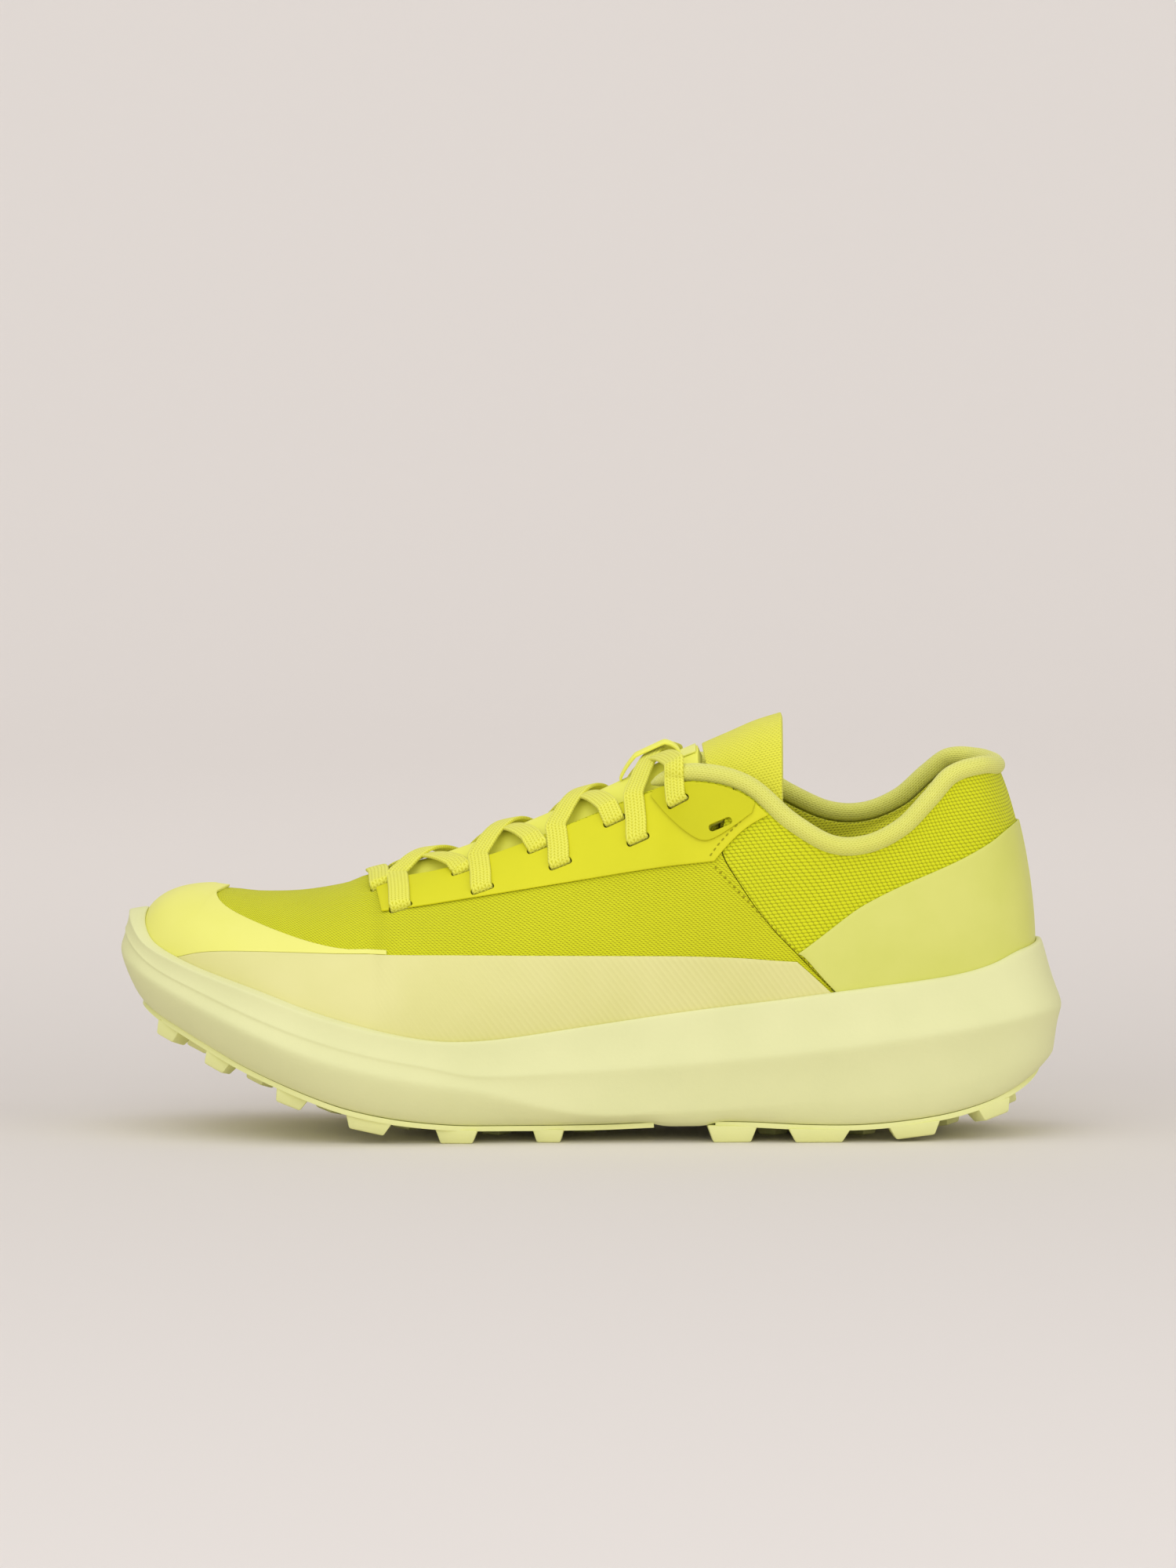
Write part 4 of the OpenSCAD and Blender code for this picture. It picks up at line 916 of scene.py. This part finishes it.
def makeUpper():
    mesh, film, raised = layers["mesh"], layers["film"], layers["raised"]
    slots = {side: upper + lower for side, (upper, lower) in holes.items()}
    vamp = makePanel("vampMesh", 320, 48, horseshoePlace, 0, mesh, -1)
    lining = makePanel("vampLining", 200, 32, horseshoePlace, liningHigh, layers["lining"], -1)
    for side in (-1, 1):
        cutSlots(vamp, side, slots[side])
        cutSlots(lining, side, slots[side])
    done(vamp, materials["frontKnit"], ["vamp_mesh"])
    done(lining, materials["liningKnit"], ["vamp_lining"])
    rear = makePanel("rearQuarter", 160, 40, rearPlace, 0, mesh, -1, 0.3)
    done(rear, materials["rearKnit"], ["rear_quarter"])
    cup = makePanel("collarLining", 160, 48, rearLiningPlace,
                    lambda w, t: -mesh - 2 * layers["gap"] - paddingAt(w, t), layers["lining"], -1, 0.3)
    done(cup, materials["liningKnit"], ["collar_lining"])
    cap = makePanel("toeCap", 120, 36, capPlace, filmHigh, film, -1, 0.15)
    done(cap, materials["toeFilm"], ["toe_cap"])
    for side, label in ((-1, "Lateral"), (1, "Medial")):
        end = "_" + label.lower()
        mud = makePanel("mudguard" + label, 160, 14, mudguardPlace(side), filmHigh, film, -1, 0.25)
        done(mud, materials["paleFilm"], ["mudguard" + end])
        heel = makePanel("heelOverlay" + label, 90, 40, heelPlace(side), filmHigh, film, -1, 0.25)
        done(heel, materials["heelFilm"], ["heel_overlay" + end])
        place = edgedPlace(side, eyestay["low"], eyestay["ends"], eyestay["lean"])
        stay = makePanel("eyestay" + label, 120, 24, place, filmHigh, film, -1, 0.25)
        cutSlots(stay, side, slots[side])
        done(stay, materials["eyestayFilm"], ["eyestay" + end])
        place = edgedPlace(side, eyestay["patchLow"], eyestay["patchEnds"], eyestay["patchLean"])
        high = filmHigh + layers["gap"] + raised
        patch = makePanel("eyestayPatch" + label, 48, 24, place, high, raised, -1, 0.2)
        cutSlots(patch, side, [row[-1] for row in holes[side]])
        done(patch, materials["raisedFilm"], ["eyestay_patch" + end])
    strip = makePanel("heelStrip", 6, 40, stripPlace, filmHigh, film, -1, 0.2)
    done(strip, materials["heelFilm"], ["heel_strip"])


makeUpper()
print("upper made")


# Collar edge
def sweep(name, line, across, width, thick, around, power=1.0, uvAt=0.0):
    # a closed section drawn along the line; across gives the section's wide way
    count = len(line)
    along = unit(np.gradient(line, axis=0))
    across = unit(across - np.sum(across * along, axis=1, keepdims=True) * along)
    up = np.cross(along, across)
    length = np.concatenate([[0], np.cumsum(np.linalg.norm(np.diff(line, axis=0), axis=1))])

    def section(v):
        angle = 2 * np.pi * v
        c, s = np.cos(angle), np.sin(angle)
        return width / 2 * np.sign(c) * np.abs(c) ** power, thick / 2 * np.sign(s) * np.abs(s) ** power

    def shape(u, v):
        i = np.rint(u * (count - 1)).astype(int)
        x, y = section(v)
        return line[i] + x[:, None] * across[i] + y[:, None] * up[i]

    def flat(u, v):
        i = np.rint(u * (count - 1)).astype(int)
        return length[i] + uvAt, (section(v)[0] + width / 2 if power < 1 else v * np.pi * width) + 0.001
    obj = layGrid(name, count - 1, around, shape, flat)
    editMesh(obj, weld, closeEnds, outward)
    return obj


def rollAt(w, room=0.6):
    w = np.asarray(w, float)
    along = unit(topEdge(w + 0.5) - topEdge(w - 0.5))
    up = unit(lastPoint(w, 1.0) - lastPoint(w, 0.96))
    square = unit(up - np.sum(up * along, axis=-1, keepdims=True) * along)
    return lastPoint(w, 1.0) + (layers["roll"] + room) * square - layers["mesh"] / 2 * lastNormal(w, 1.0)


def makeRoll():
    w = np.linspace(-82, 82, 241)
    line = rollAt(w, -0.4)
    obj = sweep("collarRoll", line, lastNormal(w, 1.0), 2 * layers["roll"], 2 * layers["roll"], 24)
    # both front ends round off
    taper = np.minimum(np.arange(241), np.arange(240, -1, -1)) / 6
    for vertex in obj.data.vertices:
        i = int(np.argmin(np.sum((line - np.array(vertex.co) * 1000) ** 2, axis=1)))
        if taper[i] < 1:
            middle = Vector(line[i] * 0.001)
            vertex.co = middle + (vertex.co - middle) * math.sqrt(max(0.04, 1 - (1 - taper[i]) ** 2))
    done(obj, materials["rollKnit"], ["collar_roll"], angle=60)


makeRoll()


# Tongue
# the flap's rows are x, z of its crest, z of its sides and half its width
tongue = {"front": 118.8, "rear": 76.8, "wing": 0.76, "keeper": (86.2, 79.6), "keeperThick": 0.8,
          "flapThick": 2.2, "flapLean": 5,
          "flap": [(34, 123.4, 101, 18.4), (38, 125.2, 100, 19), (44, 127.8, 99, 20.5), (52, 131.3, 99.5, 22),
                   (60.5, 134, 101, 24)]}


def tonguePoint(a, v, depth, raised=0.0):
    # across the tongue at angle a: a wing along the last, an arch over the instep, a wing again
    left, right = (lift(way * a, np.ones(a.shape), np.full(a.shape, depth)) for way in (-1, 1))
    middle = (left + right) / 2
    peak = middle.copy()
    peak[..., 2] = 2 * (smooth(last["tongue"], middle[..., 0]) + raised) - middle[..., 2]
    c = np.clip((v - 0.2) / 0.6, 0, 1)[..., None]
    arch = (1 - c) ** 2 * left + 2 * c * (1 - c) * peak + c**2 * right
    side = np.where(v < 0.5, -1, 1)
    share = np.clip(np.minimum(v, 1 - v) / 0.2, 0, 1)
    wing = lift(side * a, mix(tongue["wing"], 1, share), np.full(a.shape, depth))
    return np.where(((v < 0.2) | (v > 0.8))[..., None], wing, arch)


def tongueSheet(name, first, final, low, high, columns, rows, depth, raised, thick, edge):
    def shape(u, v):
        rise = raised(u) if callable(raised) else raised
        return tonguePoint(mix(first, final, u), mix(low, high, v), depth, rise)
    obj = layGrid(name, columns, rows, shape, lambda u, v: (150 * u, 70 * v))
    up = sum(face.normal.z for face in obj.data.polygons)
    if up < 0:
        editMesh(obj, bpy.ops.mesh.flip_normals)
    thicken(obj, thick, -1 if thick > 1 else 1, edge)
    return obj


def crossingRise(u):
    top = lace["rearLift"] + 2 * lace["thick"] + 3 * layers["gap"] + 0.9
    return layers["gap"] + top * np.minimum(1, 1.25 * np.sin(np.pi * u) ** 0.7)


def flapPoint(u, v):
    x, p = mix(35.2, 60.5, u), mix(-np.pi / 2, np.pi / 2, v)
    crest, low, half = (smooth(tongue["flap"], x, k) for k in (1, 2, 3))
    share = (np.cos(p) + 1e-6) ** 0.85
    y = float(smooth(last["swing"], 70.0)) + half * np.sin(p)
    return stack3(x + tongue["flapLean"] * (1 - np.cos(p)) * (60.5 - x) / 26, y, mix(low, crest, share))


def makeTongue():
    pad = tongueSheet("tonguePad", tongue["front"], tongue["rear"], 0, 1, 110, 60, tongueHigh, 0.0,
                      layers["tongue"], 0.8)
    done(pad, materials["tongueFilm"], ["tongue"], angle=50)
    band = tongueSheet("tongueBand", 79.5, 77.0, 0.38, 0.62, 12, 24, tongueHigh, layers["gap"], 0.6, 0.2)
    done(band, materials["band"], ["tongue_patch"])
    strap = tongueSheet("laceKeeper", *tongue["keeper"], 0.43, 0.55, 48, 8, tongueHigh, crossingRise,
                        tongue["keeperThick"], 0.25)
    done(strap, materials["tongueFilm"], ["lace_keeper"])
    flap = layGrid("tongueFlap", 40, 60, flapPoint, lambda u, v: (30 * u, 80 * v))
    if sum(face.normal.z for face in flap.data.polygons) < 0:
        editMesh(flap, bpy.ops.mesh.flip_normals)
    thicken(flap, tongue["flapThick"], -1, 0.9, 3)
    done(flap, materials["tongueKnit"], ["tongue_flap"], "tongue_flap", angle=60)


makeTongue()
print("collar edge and tongue made")


# Lace
overDepth = filmHigh + layers["gap"] + lace["thick"] / 2
underDepth = liningLow - layers["underLace"] - lace["thick"] / 2


def at(w, t, depth):
    return lift(np.array(float(w)), np.array(float(t)), np.array(float(depth)))


def inwardAt(w, t):
    across = np.cross(lastNormal(w, t), slotLong(w, t))
    return -across if across[1] * w > 0 else across


def throughSlot(w, t, first, final, raised=0.0):
    p, n, wide = lastPoint(w, t), lastNormal(w, t), -slotLong(w, t)
    top, bend = overDepth + raised, 1.1
    spots = [p + top * n + bend * first, p + (top - 0.3) * n + 0.35 * first, p + (top - bend) * n,
             p + (underDepth + bend) * n, p + (underDepth + 0.3) * n + 0.35 * final,
             p + underDepth * n + bend * final]
    return [(spot, wide) for spot in spots]


def overRun(a, b, raised, behind=False):
    side = -1 if a[0] < 0 else 1
    ea = abs(float(angleAt(1, lastPoint(*a)[0] - 1, 1.0)))
    eb = abs(float(angleAt(1, lastPoint(*b)[0] - 2, 1.0)))
    left, centre = at(side * ea, 1, overDepth), rollAt(-side * eb)
    reach = layers["roll"] + layers["gap"] + lace["thick"] / 2 + 0.25

    def overRoll(angle):
        turn = math.radians(angle)
        return centre + reach * np.array([0, -side * math.cos(turn), math.sin(turn)])
    right = overRoll(70) if behind else at(-side * eb, 1, overDepth)
    middle = (left + right) / 2
    apex = float(smooth(last["tongue"], middle[0])) + layers["gap"] + lace["thick"] / 2 + 0.3
    apex += lace["rearLift"] if behind else 0
    peak = np.array([middle[0], middle[1], 2 * max(apex, middle[2] + 0.2) - middle[2]])
    points = []
    for k in (1, 2, 3):
        c = 0.18 + 0.82 * k / 4
        points.append(at(side * mix(abs(float(a[0])), ea, c), mix(float(a[1]), 1, c), overDepth))
    for k in range(10):
        c = k / 9
        bow = np.array([0, 0, raised * max(0, math.sin(math.pi * c) * 1.25 - 0.25)])
        points.append((1 - c) ** 2 * left + 2 * c * (1 - c) * peak + c**2 * right + bow)
    if behind:
        points += [overRoll(angle) for angle in (48, 26, 4, -18)]
    else:
        for k in (1, 2, 3):
            c = 0.82 * k / 4
            points.append(at(-side * mix(eb, abs(float(b[0])), c), mix(1, float(b[1]), c), overDepth))
    made = []
    for i, point in enumerate(points):
        along = points[min(i + 1, len(points) - 1)] - points[max(i - 1, 0)]
        c = i / (len(points) - 1)
        n = unit(mix(lastNormal(*a), lastNormal(*b), c) + np.array([0, 0, 0.4 * math.sin(math.pi * c)]))
        wide = unit(np.cross(n, along))
        made.append((point, -wide if wide @ np.array([1, 0, 0.42]) > 0 else wide))
    return made


def dive(side, k):
    hole = holes[side][0][k]
    way = inwardAt(*hole)
    return throughSlot(*hole, way, -way, layers["raised"] + layers["gap"] if k == 4 else 0.0)


def rise(side, k):
    hole = holes[side][1][k]
    way = inwardAt(*hole)
    return throughSlot(*hole, way, way)[::-1]


def laceStage(side, k):
    a, b = holes[side][0][k], holes[side][1][k]
    beneath = []
    for c in (0.4, 0.6):
        w, t = mix(a[0], b[0], c), mix(a[1], b[1], c)
        beneath.append((at(w, t, underDepth), -slotLong(w, t)))
    raised = lace["thick"] + layers["gap"] if side < 0 else 0.0
    return dive(side, k) + beneath + rise(side, k) + overRun(b, holes[-side][0][k + 1], raised, k == 3)


def halfLace(side):
    made = laceStage(side, 0) + laceStage(-side, 1) + laceStage(side, 2) + laceStage(-side, 3) + dive(side, 4)
    for x, z, deeper in ((27, 101, 0), (26, 93, 1), (26, 86, 1)):
        w, t = placeAt(side, np.array(float(x)), np.array(float(z)))
        made.append((at(w, t, underDepth - deeper), -slotLong(w, t)))
    return made


def makeLace():
    route = halfLace(-1)[::-1] + overRun(holes[-1][0][0], holes[1][0][0], 0.0) + halfLace(1)
    spots, wide = np.array([r[0] for r in route]), np.array([r[1] for r in route])
    length = np.concatenate([[0], np.cumsum(np.linalg.norm(np.diff(spots, axis=0), axis=1))])
    keep = np.concatenate([[True], np.diff(length) > 0.05])
    spots, wide, length = spots[keep], wide[keep], length[keep]
    steps = np.linspace(0, length[-1], lace["steps"])
    line = np.stack([smooth(np.column_stack([length, spots[:, k]]), steps) for k in range(3)], 1)
    way = unit(np.stack([np.interp(steps, length, wide[:, k]) for k in range(3)], 1))
    obj = sweep("laceRun", line, way, lace["width"], lace["thick"], 16, 0.55)
    return done(obj, materials["lace"], ["lace"], angle=60)


makeLace()
print("lace made")


# Seams
def stitches(name, side, path, pitch, long, thick, depth):
    # short thread stitches along a path of x, z places on the upper
    x, z = np.array(path, float).T
    track = np.concatenate([[0], np.cumsum(np.hypot(np.diff(x), np.diff(z)))])
    spots = np.arange(pitch / 2, track[-1], pitch)
    first, final = (placeAt(side, np.interp(spots + end, track, x), np.interp(spots + end, track, z))
                    for end in (-long / 2, long / 2))
    starts, ends = (lift(w, t, np.full(w.shape, depth)) for w, t in (first, final))
    normals = lastNormal(*first)
    made = []
    for a, b, n in zip(starts, ends, normals):
        deselectAll()
        bpy.ops.mesh.primitive_uv_sphere_add(segments=8, ring_count=6, radius=1)
        obj = bpy.context.object
        along = unit(b - a)
        across = np.cross(n, along)
        for vertex in obj.data.vertices:
            c = vertex.co
            point = (a + b) / 2 + c.x * np.linalg.norm(b - a) / 2 * along
            vertex.co = Vector((point + c.y * thick / 2 * across + c.z * thick / 2 * n) * 0.001)
        made.append(obj)
    return joinAll(name, made)


# x and z along each seam, then the stitches' pitch, length, thickness and depth
seams = {"quarter": ([(38.9, 87.8), (78.0, 47.2)], 2.1, 0.8, 0.9, 0.1),
         "eyestay": ([(37.6, 90.2), (40.5, 94.2), (43.4, 97.4), (47.6, 101.4)], 2.0, 1.3, 0.5, filmHigh + 0.05)}


def makeSeams():
    for side, label in ((-1, "Lateral"), (1, "Medial")):
        for name, key, slot in (("quarterSeam", "quarter", "rear_knit"),
                                ("eyestayStitch", "eyestay", "eyestay_film")):
            done(stitches(name + label, side, *seams[key]), materials["thread"])


makeSeams()
print("seams made")


# Carried over, room and light
for name, key in (("strobel_board", "board"), ("heel_counter", "counter"), ("collar_foam", "liningKnit")):
    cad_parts[name].data.materials.clear()
    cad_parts[name].data.materials.append(materials[key])

# metres and degrees; a light is its name, power, size, place and turn
room = {"camera": 5.0, "lens": 36 * 5.0 / 0.371, "height": 4.46, "look": (-0.00087, -0.05, 0.1147), "wide": 6.0,
        "front": -9.0, "back": 1.6, "round": 1.4, "wall": 5.0, "world": 0.62,
        "lights": [("keyLight", 10, 1.8, (-0.5, -0.5, 1.9), (15, 0, -15)),
                   ("fillLight", 9, 1.6, (1.5, -1.4, 1.0), (60, 0, 47)),
                   ("frontLight", 20, 2.2, (-0.6, -2.6, 1.2), (66, 0, -13)),
                   ("wallLight", 26, 3.0, (0, 0.8, 2.4), (75, 0, 0))]}


def makeRoom():
    # the floor turns up into the wall behind in one wide curve
    quarter = math.pi / 2 * room["round"]
    flat, high = room["back"] - room["front"], room["wall"]
    total = flat + quarter + high

    def shape(u, v):
        run = v * total
        turn = np.clip((run - flat) / room["round"], 0, math.pi / 2)
        y = room["front"] + np.minimum(run, flat) + room["round"] * np.sin(turn)
        z = room["round"] * (1 - np.cos(turn)) + np.maximum(0, run - flat - quarter)
        return stack3(mix(-room["wide"], room["wide"], u), y, z) * 1000
    floor = layGrid("studioFloor", 8, 120, shape)
    smoothFaces(floor, 60)
    floor.data.materials.clear()
    floor.data.materials.append(materials["floor"])
    # the wall is only there for a view from the front: from behind it lets the view through
    tree = materials["floor"].node_tree
    facing = node(tree, "ShaderNodeNewGeometry", (200, 300))
    clear = node(tree, "ShaderNodeBsdfTransparent", (200, 100))
    either = node(tree, "ShaderNodeMixShader", (400, 200))
    tree.links.new(facing.outputs["Backfacing"], either.inputs[0])
    tree.links.new(tree.nodes["Principled BSDF"].outputs[0], either.inputs[1])
    tree.links.new(clear.outputs[0], either.inputs[2])
    tree.links.new(either.outputs[0], tree.nodes["Material Output"].inputs["Surface"])
    tilt = math.radians(room["height"])
    data = bpy.data.cameras.new("camera")
    data.sensor_fit, data.sensor_width, data.lens = "HORIZONTAL", 36, room["lens"]
    data.clip_end = 40
    camera = bpy.data.objects.new("camera", data)
    camera.location = Vector(room["look"]) + room["camera"] * Vector((0, -math.cos(tilt), math.sin(tilt)))
    camera.rotation_euler = (math.radians(90) - tilt, 0, 0)
    bpy.context.scene.collection.objects.link(camera)
    bpy.context.scene.camera = camera
    for name, power, size, place, turn in room["lights"]:
        light = bpy.data.lights.new(name, "AREA")
        light.energy, light.size = power, size
        obj = bpy.data.objects.new(name, light)
        obj.location = place
        obj.rotation_euler = [math.radians(angle) for angle in turn]
        bpy.context.scene.collection.objects.link(obj)
    world = bpy.data.worlds.new("studio")
    world.use_nodes = True
    world.node_tree.nodes["Background"].inputs["Color"].default_value = tone(240, 238, 236)
    world.node_tree.nodes["Background"].inputs["Strength"].default_value = room["world"]
    bpy.context.scene.world = world


makeRoom()
bpy.context.scene.view_settings.view_transform = "Standard"
bpy.context.view_layer.update()
print("room made")
